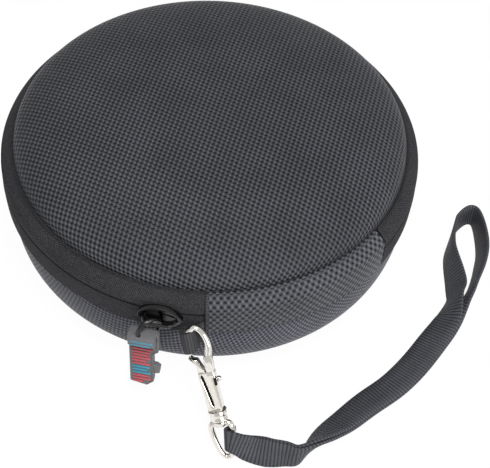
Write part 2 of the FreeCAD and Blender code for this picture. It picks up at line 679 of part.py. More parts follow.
def make_swivel():
    """Headed stem in the collar and the tapering wire eye below it."""
    bottom = -N["body_top"] - N["body_length"]
    stem = rod(V(0, 0, bottom + 3.4), V(0, 0, bottom - N["collar"] - 1.2), N["stem"])
    head = rod(V(0, 0, bottom + 1.4), V(0, 0, bottom + 4.0), N["stem"] + 2 * N["stem_head"])
    corners = eye_corners()
    loop = swept(rounded(corners, True).Edges, N["eye_wire"])
    under = bottom - N["collar"] - N["eye_gap"]
    shoulder = Part.makeCone(N["stem"] / 2 + 0.9, N["stem"] / 2, 1.8, V(0, 0, under), V(0, 0, -1))
    feature_of("swivel_eye", stem.fuse([head, loop, shoulder]).removeSplitter(), clasp_frame())


def make_tab():
    """Ribbon folded round the bow's leg; both plies run back to the seam beside the hinge panel."""
    frame = clasp_frame()
    wire, ply, width = N["hook_wire"], N["tab_thick"], N["tab_width"]
    inner = wire / 2 + N["tab_play"]
    low, high = leg_middle() - V(0, 0, width / 2), leg_middle() + V(0, 0, width / 2)
    tube = rod(low, high, 2 * (inner + ply)).cut(rod(low - V(0, 0, 1), high + V(0, 0, 1), 2 * inner))
    tube = tube.transformed(frame.toMatrix())
    eye = frame.multVec(leg_middle())
    along = frame.Rotation.multVec(V(0, 0, 1))
    bearing = math.radians(N["hinge_start"] - 0.6)
    radius = N["zip_radius"] + ply + 0.15
    seam = V(radius * math.cos(bearing), radius * math.sin(bearing), N["tab_height"])
    toward = (seam - eye).normalize()
    across = along.cross(toward).normalize()

    def band(centre, rise, normal, depth):
        corners = [centre + rise * (a * width / 2) + normal * (b * depth) for a, b in
                   ((-1, -1), (1, -1), (1, 1), (-1, 1))]
        return Part.makePolygon(corners + corners[:1])

    start = eye + toward * (inner + ply * 0.4)
    flat = V(-math.cos(bearing), -math.sin(bearing), 0)
    web = Part.makeLoft([band(start, along, across, ply), band(seam, V(0, 0, 1), flat, -ply)], True, True)
    clear = rod(low - V(0, 0, 2), high + V(0, 0, 2), 2 * inner).transformed(frame.toMatrix())
    feature_of("clasp_tab", tube.fuse(web).cut(clear).removeSplitter())


# ---------------------------------------------------------------- wrist strap
# Places on the floor, from under the ribbon's eye.
STRAP_ROUTE = [(24.15, -22.6), (31.65, -22.8), (40.15, -20.2), (49.65, -14.2), (61.15, -5.2), (72.15, 5.8),
               (82.65, 19.8), (91.65, 35.8), (98.05, 50.1)]
STRAP_LOOP = [(97.15, 47.8), (93.25, 60.8), (94.65, 73.8), (100.15, 84.3), (107.65, 85.8), (112.15, 76.3),
              (110.15, 63.8), (104.15, 53.8)]


def rounded(points, closed):
    """Straight runs through flat points, joined by tangent arcs as large as the runs allow."""
    count = len(points)
    corners = range(count) if closed else range(1, count - 1)
    edges, last = [], None if closed else points[0]
    opening = None
    for index in corners:
        before, here, after = points[index - 1], points[index], points[(index + 1) % count]
        back, ahead = before - here, after - here
        half_turn = (math.pi - back.getAngle(ahead)) / 2
        reach = 0.45 * min(back.Length, ahead.Length)
        enter, leave = here + back.normalize() * reach, here + ahead.normalize() * reach
        radius = reach / math.tan(half_turn)
        centre = here + ((enter + leave) * 0.5 - here).normalize() * (radius / math.cos(half_turn))
        middle = centre + (here - centre).normalize() * radius
        if last is not None:
            edges.append(Part.makeLine(last, enter))
        else:
            opening = enter
        edges.append(Part.Arc(enter, middle, leave).toShape())
        last = leave
    edges.append(Part.makeLine(last, opening if closed else points[-1]))
    return Part.Wire(edges)


def band_round(wire, reach, height, base):
    """Upright solid of everything within reach of a flat wire."""
    ring = wire.makeOffset2D(reach, 0, False, False, False)
    solid = Part.Face(ring).extrude(V(0, 0, height))
    solid.translate(V(0, 0, base))
    return solid


def make_strap():
    """Loop of webbing: two layers side by side from the swivel eye, open at the far end."""
    width, thick, gap = N["web_width"], N["web_thick"], N["web_gap"]
    floor = N["floor_gap"]
    spine = rounded([ribbon_eye(0) + V(x, y, 0) for x, y in STRAP_ROUTE], False)
    loop = rounded([ribbon_eye(0) + V(x, y, 0) for x, y in STRAP_LOOP], True)
    outer = band_round(spine, gap / 2 + thick, width, floor).fuse(band_round(loop, thick / 2, width, floor))
    slit = band_round(spine, gap / 2, width + 2, floor - 1)
    slit = slit.fuse(band_round(loop, -thick / 2, width + 2, floor - 1))
    frame = clasp_frame()
    shoulder, foot = [frame.multVec(corner) for corner in eye_corners()[1:3]]
    middle, rise = shoulder + (foot - shoulder) * N["cuff_place"], (shoulder - foot).normalize()
    inner, held = N["eye_wire"] / 2 + N["cuff_gap"], width * N["gather"] / 2
    cuff = rod(middle - rise * held, middle + rise * held, 2 * (inner + thick))
    bore = rod(middle - rise * width, middle + rise * width, 2 * inner)
    reach, half = width / 2, gap / 2 + thick
    first, second = [ribbon_eye(floor + reach) + V(x, y, 0) for x, y in STRAP_ROUTE[:2]]
    heading = (second - first).normalize()
    toward = (first - middle).normalize()
    side = V(-heading.y, heading.x, 0)
    normal = rise.cross(toward).normalize()
    if side.dot(normal) < 0:
        normal = normal * -1

    def section(centre, upward, across, tall):
        corners = [centre + upward * (a * tall) + across * (b * half)
                   for a, b in ((-1, -1), (1, -1), (1, 1), (-1, 1))]
        return Part.makePolygon(corners + corners[:1])

    neck = Part.makeLoft([section(middle + toward * (inner + thick * 0.6), rise, normal, held),
                          section(first + heading * half / 2, V(0, 0, 1), side, reach)], True, True)
    strap = outer.cut(slit).fuse([neck, cuff]).cut(bore)
    feature_of("wrist_strap", strap.removeSplitter())


MAKERS = (make_shells, make_zip, make_pocket, make_slider, make_bridge, make_ring, make_tag, make_hook,
          make_gate, make_swivel, make_tab, make_strap)


def check_and_write():
    """Stop on any failed object or bad shape, then write one STEP file per sub-part."""
    doc.recompute()
    for item in doc.Objects:
        if "Invalid" in item.State or "Error" in item.State:
            raise RuntimeError(f"{item.Label} failed")
    for item in KEPT:
        if item.Shape.isNull() or not item.Shape.isValid() or item.Shape.Volume <= 0:
            raise RuntimeError(f"{item.Label} has no valid shape")
    os.makedirs("parts", exist_ok=True)
    for item in KEPT:
        item.Shape.exportStep(f"parts/{item.Label}.step")
        box = item.Shape.BoundBox
        print(f"{item.Label:20s} solids {len(item.Shape.Solids)} volume {item.Shape.Volume:9.1f}  "
              f"x {box.XMin:.1f}..{box.XMax:.1f}  y {box.YMin:.1f}..{box.YMax:.1f}  "
              f"z {box.ZMin:.1f}..{box.ZMax:.1f}")


for make in MAKERS:
    make()
check_and_write()
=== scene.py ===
import json
import math

import bmesh
import bpy
from mathutils import Matrix, Vector
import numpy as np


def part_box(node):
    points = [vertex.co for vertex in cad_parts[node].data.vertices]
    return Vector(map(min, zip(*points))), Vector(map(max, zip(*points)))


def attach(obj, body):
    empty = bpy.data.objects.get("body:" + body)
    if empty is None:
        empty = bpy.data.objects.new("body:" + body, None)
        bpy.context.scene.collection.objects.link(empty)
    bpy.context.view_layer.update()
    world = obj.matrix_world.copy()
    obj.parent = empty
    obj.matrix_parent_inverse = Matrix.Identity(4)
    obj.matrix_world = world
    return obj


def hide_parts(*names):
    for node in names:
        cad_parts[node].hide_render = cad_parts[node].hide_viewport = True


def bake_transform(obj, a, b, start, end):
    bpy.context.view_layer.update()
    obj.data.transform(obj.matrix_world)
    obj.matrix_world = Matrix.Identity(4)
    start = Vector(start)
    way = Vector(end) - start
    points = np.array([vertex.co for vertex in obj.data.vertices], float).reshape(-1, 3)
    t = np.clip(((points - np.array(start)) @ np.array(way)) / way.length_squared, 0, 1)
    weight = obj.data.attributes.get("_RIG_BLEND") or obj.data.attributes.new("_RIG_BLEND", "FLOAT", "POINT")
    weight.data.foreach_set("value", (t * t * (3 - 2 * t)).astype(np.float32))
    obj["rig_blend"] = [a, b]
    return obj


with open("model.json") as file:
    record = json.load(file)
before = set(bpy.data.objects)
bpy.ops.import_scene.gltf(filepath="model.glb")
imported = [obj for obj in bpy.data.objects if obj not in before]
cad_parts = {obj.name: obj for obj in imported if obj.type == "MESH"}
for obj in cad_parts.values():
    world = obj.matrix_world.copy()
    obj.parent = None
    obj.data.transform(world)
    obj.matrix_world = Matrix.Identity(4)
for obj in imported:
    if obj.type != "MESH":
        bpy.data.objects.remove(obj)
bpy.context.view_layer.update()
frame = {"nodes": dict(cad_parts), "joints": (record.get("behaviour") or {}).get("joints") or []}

MM = 0.001
JOINTS = {joint["name"]: joint for joint in frame["joints"]}

# ---------------------------------------------------------------- sizes, in millimetres
BASE_RADIUS, BASE_HEIGHT, BASE_FULLNESS = 72.4, 34.6, 3.7
LID_RADIUS, LID_TOP, LID_RISE, LID_FULLNESS = 70.0, 64.7, 13.6, 2.6
SKIN, CORE, LINING = 0.7, 2.3, 0.5
ZIP_RADIUS, ZIP_HEIGHT, ZIP_GAP, TAPE = 74.8, 43.9, 0.9, 0.8
SEAM, CREASE = (74.4, 34.6), (70.9, 51.1)
RIM_CLEAR, SEAT_GAP, BINDING = 5.6, 0.3, 0.6
HINGE_START, HINGE_SWEEP, END_GAP = -90.0, 54.0, 0.25
TAPE_START, TAPE_SWEEP = HINGE_START + HINGE_SWEEP + END_GAP, 360.0 - HINGE_SWEEP - 2 * END_GAP
FOLD = 3.5                # from the zip's middle to where a tape folds inward
WEAVE = (1.035, 1.34)     # between crossings of the cloth
COLUMN, FLOAT = 2.2, 0.9  # herringbone of the tape
YARN = 0.75               # side by side in webbing and ribbon
NET_HOLE = 1.6            # from one hole of the pocket's net to the next
COIL_WIRE, COIL_PITCH, COIL_STEPS = 0.26, 1.3, 9


# ---------------------------------------------------------------- materials
def linear(code):
    """sRGB hex code as a linear colour."""
    parts = [int(code[i:i + 2], 16) / 255 for i in (1, 3, 5)]
    return [p / 12.92 if p <= 0.04045 else ((p + 0.055) / 1.055) ** 2.4 for p in parts] + [1.0]


def add(tree, kind, inputs=None, **settings):
    """Add a node; inputs maps a socket to a number, a colour or another node's output."""
    node = tree.nodes.new(kind)
    for key, value in settings.items():
        setattr(node, key, value)
    for key, value in (inputs or {}).items():
        if isinstance(value, bpy.types.NodeSocket):
            tree.links.new(value, node.inputs[key])
        else:
            node.inputs[key].default_value = value
    return node


def blank(name, sockets):
    """New material with numbers set straight on its surface shader."""
    material = bpy.data.materials.new(name)
    material.use_nodes = True
    tree = material.node_tree
    surface = tree.nodes["Principled BSDF"]
    for socket, value in sockets.items():
        surface.inputs[socket].default_value = value
    return material, tree, surface


def coloured(tree, surface, low, high, factor, height, depth, strength=1.0):
    """Give a surface two colours mixed by a factor, and relief from a height."""
    mixed = add(tree, "ShaderNodeMix", {0: factor, 6: linear(low), 7: linear(high)}, data_type="RGBA")
    tree.links.new(mixed.outputs[2], surface.inputs["Base Color"])
    bump = add(tree, "ShaderNodeBump", {"Height": height, "Distance": depth * MM, "Strength": strength})
    tree.links.new(bump.outputs["Normal"], surface.inputs["Normal"])


def worn(tree, factor, scale, low, high):
    """Factor with broad, cloudy differences, as rubbed and dusty cloth has."""
    place = add(tree, "ShaderNodeTexCoord").outputs["Object"]
    cloud = add(tree, "ShaderNodeTexNoise", {"Vector": place, "Scale": scale, "Detail": 3.0}).outputs["Fac"]
    level = add(tree, "ShaderNodeMapRange", {0: cloud, 1: 0.3, 2: 0.7, 3: low, 4: high}).outputs[0]
    return add(tree, "ShaderNodeMath", {0: factor, 1: level}, operation="MULTIPLY").outputs[0]


def cloth_map(tree):
    """Millimetres along and across a piece of cloth."""
    place = add(tree, "ShaderNodeUVMap", uv_map="cloth").outputs["UV"]
    return add(tree, "ShaderNodeSeparateXYZ", {0: place}).outputs


def crest(tree, across, pitch=1.0):
    """Row of round threads at a pitch: 0 between two threads, 1 on top of each."""
    turn = add(tree, "ShaderNodeMath", {0: across, 1: math.pi / pitch}, operation="MULTIPLY").outputs[0]
    wave = add(tree, "ShaderNodeMath", {0: turn}, operation="SINE").outputs[0]
    return add(tree, "ShaderNodeMath", {0: wave}, operation="ABSOLUTE").outputs[0]


def ballistic_nylon(name, low, high, turn, ground):
    """Ballistic nylon in a plain weave, with 1.04 by 1.34 mm between crossings at the built size.
    Its colour follows the relief: crowns painted light as highlight, sunk gaps painted near-black as shade,
    with the dull shine of nylon."""
    material, tree, surface = blank(name, {"Roughness": 0.35, "IOR": 1.53, "Specular IOR Level": 0.08,
                                           "Sheen Weight": 0.0})
    place = add(tree, "ShaderNodeUVMap", uv_map="cloth").outputs["UV"]
    cells = add(tree, "ShaderNodeMapping", {"Vector": place, "Rotation": (0, 0, math.radians(turn)),
                                            "Scale": (*WEAVE, 1)}, vector_type="TEXTURE").outputs[0]
    parts = add(tree, "ShaderNodeSeparateXYZ", {0: cells})
    along, across = crest(tree, parts.outputs[0]), crest(tree, parts.outputs[1])
    crown = add(tree, "ShaderNodeMath", {0: along, 1: across}, operation="MULTIPLY").outputs[0]
    wide = add(tree, "ShaderNodeMath", {0: along, 1: 0.5}, operation="POWER").outputs[0]
    thin = add(tree, "ShaderNodeMath", {0: across, 1: 1.7}, operation="POWER").outputs[0]
    gap = add(tree, "ShaderNodeMath", {0: wide, 1: thin}, operation="MULTIPLY").outputs[0]
    over = add(tree, "ShaderNodeTexChecker", {"Vector": cells, "Scale": 1.0}).outputs["Fac"]
    risen = add(tree, "ShaderNodeMapRange", {0: crown, 3: ground, 4: 1.0}).outputs[0]
    sunk = add(tree, "ShaderNodeMapRange", {0: gap, 3: ground, 4: 0.0}).outputs[0]
    height = add(tree, "ShaderNodeMix", {0: over, 2: sunk, 3: risen}, data_type="FLOAT").outputs[0]
    # Colour follows this height: painted highlight on the crowns, painted shade in the gaps.
    coloured(tree, surface, low, high, worn(tree, height, 60.0, 0.85, 1.1), height, 0.55, 1.0)
    return material


def zip_tape(name, low, high):
    """Woven zip tape, herringbone: columns 2.2 mm wide of slanting floats 0.9 mm apart."""
    material, tree, surface = blank(name, {"Roughness": 0.8, "IOR": 1.53, "Specular IOR Level": 0.15})
    along, across = cloth_map(tree)[:2]
    lean = add(tree, "ShaderNodeMath", {0: across, 1: COLUMN}, operation="PINGPONG").outputs[0]
    slant = add(tree, "ShaderNodeMath", {0: along, 1: lean}, operation="ADD").outputs[0]
    float_ = crest(tree, slant, FLOAT)
    # The slanting floats and fine specks are painted lighter: partly the herringbone pattern, partly painted
    # highlight.
    specks_and_float_highlights = worn(tree, worn(tree, float_, 70.0, 0.8, 1.1), 1500.0, 0.35, 1.25)
    coloured(tree, surface, low, high, specks_and_float_highlights, specks_and_float_highlights, 0.25, 0.9)
    return material


def ribbed(name, low, high, pitch, depth, roughness):
    """Ribbed webbing, ribbon or elastic: cross ribs at the given pitch, made of fine side-by-side yarns."""
    material, tree, surface = blank(name, {"Roughness": roughness, "IOR": 1.53, "Specular IOR Level": 0.25})
    along, across = cloth_map(tree)[:2]
    rib = crest(tree, along, pitch)
    yarn = crest(tree, across, YARN)
    fine = add(tree, "ShaderNodeMapRange", {0: yarn, 3: 0.55, 4: 1.0}).outputs[0]
    height = add(tree, "ShaderNodeMath", {0: rib, 1: fine}, operation="MULTIPLY").outputs[0]
    coloured(tree, surface, low, high, worn(tree, height, 90.0, 0.8, 1.1), height, depth, 0.9)
    return material


def grained(name, low, high, scale, depth, sockets):
    """Moulded, cast or brushed surface with an even fine grain of the given number per metre."""
    material, tree, surface = blank(name, sockets)
    place = add(tree, "ShaderNodeTexCoord").outputs["Object"]
    grain = add(tree, "ShaderNodeTexNoise", {"Vector": place, "Scale": scale, "Detail": 4.0}).outputs["Fac"]
    coloured(tree, surface, low, high, grain, grain, depth, 0.5)
    return material


nylon = ballistic_nylon("ballistic nylon, woven", "#010102", "#56575c", 23.5, 0.42)
# Lighter copy of the lid's nylon for the base wall: painted light for the stronger light on the upright
# wall.
nylon_painted_lit_wall = ballistic_nylon("ballistic nylon, woven, painted lighter for the lit wall", "#030306", "#6c6d76",
                             23.5, 0.46)
nylon_panel = ballistic_nylon("ballistic nylon, woven, cut on the straight", "#030304", "#5c5d62", 0.0, 0.5)
tape_cloth = zip_tape("zip tape, polyester herringbone", "#060607", "#404043")
webbing = ribbed("nylon webbing, cross ribbed", "#131417", "#4a4b50", 1.2, 0.2, 0.6)
ribbon = ribbed("grosgrain ribbon, polyester", "#1c1c1e", "#3c3c3f", 0.9, 0.12, 0.7)
elastic = ribbed("covered elastic, knitted", "#161618", "#36363a", 0.9, 0.15, 0.75)
# Moulded EVA foam: black, dull, with a fine closed-cell grain.
foam = grained("eva foam, moulded", "#161617", "#2a2a2b", 900.0, 0.05, {"Roughness": 0.9})
# Brushed knit lining: short nap that takes a soft sheen.
lining = grained("brushed knit lining", "#1d1d20", "#3a3a3f", 1400.0, 0.12,
                 {"Roughness": 0.95, "Sheen Weight": 0.35, "Sheen Roughness": 0.4})
# Nylon monofilament coil: smooth drawn plastic with a low shine.
coil_nylon = grained("nylon monofilament coil", "#101011", "#232325", 500.0, 0.01, {"Roughness": 0.42})
# Zinc die casting, black enamel: deep gloss with a faint orange-peel surface.
enamel = grained("black enamel on zinc casting", "#020202", "#060607", 350.0, 0.004,
                 {"Roughness": 0.25, "Specular IOR Level": 0.3, "Coat Weight": 0.3, "Coat Roughness": 0.08})
# Zinc die casting, bright nickel plate: mirror finish over slightly uneven castings, given by the bump; the
# cloudy darker patches in its colour are painted reflection.
nickel = grained("bright nickel plate on zinc casting", "#cfcac1", "#f4f1ea", 420.0, 0.03,
                 {"Metallic": 1.0, "Roughness": 0.1})
# Dark, rough zinc set inside the clasp's slot and beside its knob: painted shade.
shade_dark_zinc = grained("zinc casting, channel painted dark as shade", "#171615", "#34322f", 900.0, 0.02,
                   {"Metallic": 1.0, "Roughness": 0.5})
# Soft moulded PVC: grey body, and raised bars in two colours.
tag_grey = grained("soft pvc, moulded, grey", "#4c4c4e", "#606062", 1200.0, 0.04, {"Roughness": 0.55})
tag_teal = grained("soft pvc, moulded, teal", "#1f6c80", "#2c8299", 1200.0, 0.03, {"Roughness": 0.45})
tag_red = grained("soft pvc, moulded, red", "#93303a", "#ab434c", 1200.0, 0.03, {"Roughness": 0.45})


# ---------------------------------------------------------------- making pieces
def piece(name, bm, material, body, replaces=(), sharp=50.0):
    """Turn a bmesh into a finished object that rides on a body."""
    mesh = bpy.data.meshes.new(name)
    bm.to_mesh(mesh)
    bm.free()
    mesh.materials.append(material)
    mesh.shade_smooth()
    mesh.set_sharp_from_angle(angle=math.radians(sharp))
    item = bpy.data.objects.new(name, mesh)
    bpy.context.scene.collection.objects.link(item)
    if body:
        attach(item, body)
    if replaces:
        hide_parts(*replaces)
    return item


def lengths(points):
    """Distance along a row of points, from its first."""
    total, row = 0.0, [0.0]
    for before, after in zip(points, points[1:]):
        total += (Vector(after) - Vector(before)).length
        row.append(total)
    return row


def lathe(profile, start=0.0, sweep=360.0, steps=192, closed=True):
    """Turn a section of distances and heights about the upright axis; each vertex keeps its length."""
    bm = bmesh.new()
    length = bm.verts.layers.float.new("length")
    verts = [bm.verts.new((r * MM, 0, z * MM)) for r, z in profile]
    for vert, far in zip(verts, lengths(profile)):
        vert[length] = far
    pairs = list(zip(verts, verts[1:])) + ([(verts[-1], verts[0])] if closed else [])
    edges = [bm.edges.new(pair) for pair in pairs]
    bmesh.ops.rotate(bm, verts=verts, cent=(0, 0, 0), matrix=Matrix.Rotation(math.radians(start), 3, "Z"))
    bmesh.ops.spin(bm, geom=verts + edges, axis=(0, 0, 1), cent=(0, 0, 0), angle=math.radians(sweep),
                   steps=steps, use_merge=sweep == 360.0)
    bmesh.ops.remove_doubles(bm, verts=bm.verts, dist=1e-6)
    bmesh.ops.holes_fill(bm, edges=[edge for edge in bm.edges if edge.is_boundary])
    bmesh.ops.recalc_face_normals(bm, faces=bm.faces)
    return bm


def lay_cloth(bm, radius=None, turn=0.0, scale=1.0):
    """Map the cloth in millimetres: round the middle for a dome, along the band for a strip."""
    length, cloth = bm.verts.layers.float["length"], bm.loops.layers.uv.new("cloth")
    spun = Matrix.Rotation(math.radians(turn), 2)
    for face in bm.faces:
        middle = face.calc_center_median()
        facing = math.atan2(middle.y, middle.x)
        for loop in face.loops:
            co, far = loop.vert.co, loop.vert[length]
            bearing = math.atan2(co.y, co.x)
            if radius is None:
                place = Vector((far * math.cos(bearing), far * math.sin(bearing)))
            else:
                bearing = facing + math.remainder(bearing - facing, math.tau)
                place = Vector((bearing * radius, far))
            loop[cloth].uv = spun @ place * scale
    return bm


def dome(shell, depth, count=44):
    """Points of a shell's section at a depth, from its pole to where its wall is upright."""
    if shell == "base":
        radius, height, full = BASE_RADIUS, BASE_HEIGHT, BASE_FULLNESS
    else:
        radius, height, full = LID_RADIUS, LID_RISE, LID_FULLNESS
    radius, height = radius - depth, height - depth
    row = []
    for index in range(count + 1):
        bend = math.pi / 2 * index / count
        across = math.sin(bend) ** (2 / full)
        up = 1 - max(math.cos(bend), 0.0) ** (2 / full)
        if row and radius * (across - row[-1][0] / radius) < 1e-4 and height * up - row[-1][2] < 1e-4:
            continue
        row.append((radius * across, 0, height * up))
    return [(r, depth + up) if shell == "base" else (r, LID_TOP - depth - up) for r, _, up in row]


def tape_back(shell, height):
    """Distance of the tape's inner face at a height below or above its fold."""
    edge = SEAM if shell == "base" else CREASE
    fold = ZIP_HEIGHT + (-FOLD if shell == "base" else FOLD)
    share = (height - fold) / (edge[1] - fold)
    return ZIP_RADIUS - TAPE * 1.1 - (ZIP_RADIUS - edge[0]) * max(share, 0.0)


def make_shell(shell):
    """Outer cloth, foam with its flange, lining and edge ribbon of one shell."""
    sign = -1 if shell == "base" else 1
    edge = (SEAM if shell == "base" else CREASE)[1]
    rim = ZIP_HEIGHT + sign * RIM_CLEAR
    # The base takes the lighter copy of the nylon, painted light for its lit wall.
    cloth = nylon_painted_lit_wall if shell == "base" else nylon
    outside, inside = dome(shell, 0.0), dome(shell, SKIN)
    hem = [(outside[-1][0] - 0.1, edge - sign * 0.35), (outside[-1][0] - 0.5, edge - sign * 0.7)]
    bm = lathe(outside + hem + inside[::-1], closed=False)
    piece(f"{shell}_cloth", lay_cloth(bm), cloth, shell, [f"{shell}_outer_fabric"])
    outside, inside = dome(shell, SKIN + 0.02), dome(shell, SKIN + CORE)
    flange = [(tape_back(shell, edge) - SEAT_GAP, edge), (tape_back(shell, rim) - SEAT_GAP, rim),
              (inside[-1][0], rim)]
    bm = lathe(outside + flange + inside[::-1], closed=False)
    piece(f"{shell}_foam", lay_cloth(bm), foam, shell, [f"{shell}_foam_shell"])
    outside, inside = dome(shell, SKIN + CORE + 0.02), dome(shell, SKIN + CORE + LINING)
    top = [(outside[-1][0], rim), (inside[-1][0], rim)]
    bm = lathe(outside + top + inside[::-1], closed=False)
    piece(f"{shell}_knit", lay_cloth(bm), lining, shell, [f"{shell}_lining"])
    wall, far = inside[-1][0], tape_back(shell, rim) - SEAT_GAP
    lap = rim + sign * 2.2
    section = [(wall - 0.05, lap), (wall - 0.05, rim - sign * 0.05), (far, rim - sign * 0.05),
               (far, rim - sign * 0.4), (far - 0.25, rim - sign * BINDING),
               (wall - BINDING + 0.3, rim - sign * BINDING), (wall - BINDING, rim - sign * 0.3),
               (wall - BINDING, rim + sign * 0.6), (wall - BINDING, lap)]
    piece(f"{shell}_edge_ribbon", lay_cloth(lathe(section), ZIP_RADIUS), ribbon, shell,
          [f"{shell}_edge_binding"])


def strip(shell):
    """Outer line of a zip tape or hinge panel, from the zip to its sewn edge."""
    if shell == "base":
        return [(ZIP_RADIUS, ZIP_HEIGHT - ZIP_GAP / 2), (ZIP_RADIUS, 41.2), (ZIP_RADIUS, 40.4),
                (74.75, 39.6), (74.62, 37.6), SEAM]
    return [(ZIP_RADIUS, ZIP_HEIGHT + ZIP_GAP / 2), (ZIP_RADIUS, 46.4), (74.72, 47.1), (74.45, 47.75),
            (73.4, 48.75), (71.5, 50.35), (71.0, 50.45), (70.6, 50.2)]


def backed(line, thick):
    """Close a section by carrying its line back at a thickness on the inner side."""
    rear = []
    for index, (r, z) in enumerate(line):
        before, after = Vector(line[max(index - 1, 0)]), Vector(line[min(index + 1, len(line) - 1)])
        along = (after - before).normalized()
        side = Vector((-along.y, along.x))
        side = side if side.x < 0 else -side
        rear.append((r + side.x * thick, z + side.y * thick))
    return list(line) + rear[::-1]


def make_tapes():
    """Both zip tapes, each with its row of coil as a true helix."""
    for shell in ("base", "lid"):
        bm = lathe(backed(strip(shell), TAPE), TAPE_START, TAPE_SWEEP, 220)
        piece(f"{shell}_tape", lay_cloth(bm, ZIP_RADIUS), tape_cloth, shell, [f"{shell}_zip_tape"])
        sign = -1 if shell == "base" else 1
        radius, middle = ZIP_RADIUS - TAPE - 0.75, ZIP_HEIGHT + sign * (ZIP_GAP / 2 + 1.2)
        turns = int(math.radians(TAPE_SWEEP) * radius / COIL_PITCH)
        wire = bpy.data.curves.new(f"{shell}_coil_wire", "CURVE")
        wire.dimensions, wire.bevel_depth, wire.bevel_resolution = "3D", COIL_WIRE * MM, 1
        spline = wire.splines.new("POLY")
        count = turns * COIL_STEPS
        spline.points.add(count)
        for index, point in enumerate(spline.points):
            bearing = math.radians(TAPE_START + 0.3 + (TAPE_SWEEP - 0.6) * index / count)
            angle = math.tau * index / COIL_STEPS
            far, up = radius + 0.49 * math.cos(angle), middle + 0.94 * math.sin(angle)
            point.co = (far * math.cos(bearing) * MM, far * math.sin(bearing) * MM, up * MM, 1)
        item = bpy.data.objects.new("coil", wire)
        bm = bmesh.new()
        bm.from_mesh(bpy.data.meshes.new_from_object(item))
        bpy.data.objects.remove(item)
        piece(f"{shell}_coil", bm, coil_nylon, shell, [f"{shell}_zip_coil"])


def make_hinge():
    """Woven panel across the hinge, a ribbon welt along its first end, and the lining strip behind it."""
    line = strip("base")[::-1] + strip("lid")
    line = line[:5] + [(ZIP_RADIUS, z) for z in (42.4, 43.4, 44.4, 45.4)] + line[7:]
    bm = lathe(backed(line, TAPE), HINGE_START + END_GAP, HINGE_SWEEP - 2 * END_GAP, 60)
    panel = piece("hinge_cloth", lay_cloth(bm, ZIP_RADIUS, scale=0.86), nylon_panel, None,
                  ["hinge_panel"])
    low, high = BASE_RADIUS - 4.4, LID_RADIUS - 4.4
    line = [(low, 36.1), (low, 37.7), (low + 0.1, 39.5), (low - 0.6, 41.5), (low - 1.1, 43.9),
            (low - 1.4, 46.3), (high, 48.9), (high, 50.1), (high, 52.3)]
    bm = lathe(backed(line, LINING), HINGE_START, HINGE_SWEEP, 60)
    inner = piece("hinge_knit", lay_cloth(bm, ZIP_RADIUS), lining, None, ["hinge_lining"])
    bearing = math.radians(HINGE_START + 0.1)
    places = [Vector(((r + 0.25) * math.cos(bearing), (r + 0.25) * math.sin(bearing), z)) * MM
              for r, z in smooth(strip("base")[::-1] + strip("lid"), 3)]
    bm = sweep_along(oval(1.2, 1.0, 10), run(places, [(0, 1, 0)] * len(places)))
    welt = piece("hinge_welt", bm, ribbon, None)
    pivot = Vector(JOINTS["lid_hinge"]["pos_m"])
    for item in (panel, inner, welt):
        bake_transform(item, "base", "lid", start=tuple(pivot - Vector((0, 0, 3.5 * MM))),
                 end=tuple(pivot + Vector((0, 0, 3.5 * MM))))


def frame_at(place, heading, across, wide=1.0):
    """Frame with Z along a run and X across it."""
    ahead = Vector(heading).normalized()
    side = (Vector(across) - ahead * ahead.dot(Vector(across))).normalized()
    turned = Matrix((side * wide, ahead.cross(side), ahead)).transposed()
    return Matrix.Translation(Vector(place)) @ turned.to_4x4()


def run(places, across, wide=None):
    """Frames along a row of places."""
    frames = []
    for index, place in enumerate(places):
        heading = Vector(places[min(index + 1, len(places) - 1)]) - Vector(places[max(index - 1, 0)])
        frames.append(frame_at(place, heading, across[index], wide[index] if wide else 1.0))
    return frames


def sweep_along(section, frames):
    """Carry a flat closed section along a row of frames; the map holds millimetres along and round it."""
    bm = bmesh.new()
    along, around = bm.verts.layers.float.new("along"), bm.verts.layers.float.new("around")
    ring = [bm.verts.new(frames[0] @ Vector((x, y, 0))) for x, y in section]
    round_ = lengths(list(section) + [section[0]])
    for vert, far in zip(ring, round_):
        vert[around] = far
    edges = [bm.edges.new(pair) for pair in zip(ring, ring[1:] + ring[:1])]
    first, far = edges, 0.0
    for before, after in zip(frames, frames[1:]):
        made = bmesh.ops.extrude_edge_only(bm, edges=edges)["geom"]
        verts = {part for part in made if isinstance(part, bmesh.types.BMVert)}
        edges = [part for part in made if isinstance(part, bmesh.types.BMEdge) and set(part.verts) <= verts]
        bmesh.ops.transform(bm, matrix=after @ before.inverted(), verts=list(verts))
        far += (after.translation - before.translation).length
        for vert in verts:
            vert[along] = far
    for ends in (first, edges):
        bmesh.ops.contextual_create(bm, geom=ends)
    bmesh.ops.recalc_face_normals(bm, faces=bm.faces)
    cloth = bm.loops.layers.uv.new("cloth")
    for face in bm.faces:
        wraps = max(loop.vert[around] for loop in face.loops) > 0.75 * round_[-1]
        for loop in face.loops:
            v = loop.vert[around]
            loop[cloth].uv = (loop.vert[along] / MM, (round_[-1] if wraps and v == 0 else v) / MM)
    return bm


def smooth(rows, steps):
    """Even curve through rows of numbers, steps to each gap."""
    out = []
    last = len(rows) - 1
    for index in range(last):
        a, b, c, d = (rows[max(index - 1, 0)], rows[index], rows[index + 1], rows[min(index + 2, last)])
        for step in range(steps):
            t = step / steps
            out.append(tuple(0.5 * (2 * q + (r - p) * t + (2 * p - 5 * q + 4 * r - s) * t * t
                                    + (3 * q - p - 3 * r + s) * t ** 3) for p, q, r, s in zip(a, b, c, d)))
    return out + [tuple(rows[-1])]


def ribbon_section(width, thick):
    """Section of a ribbon with rounded selvedges, in metres."""
    w, t = width / 2 * MM, thick / 2 * MM
    return [(-w, -t * 0.4), (-w + t * 0.6, -t), (-w / 3, -t), (w / 3, -t), (w - t * 0.6, -t), (w, -t * 0.4),
            (w, t * 0.4), (w - t * 0.6, t), (w / 3, t), (-w / 3, t), (-w + t * 0.6, t), (-w, t * 0.4)]


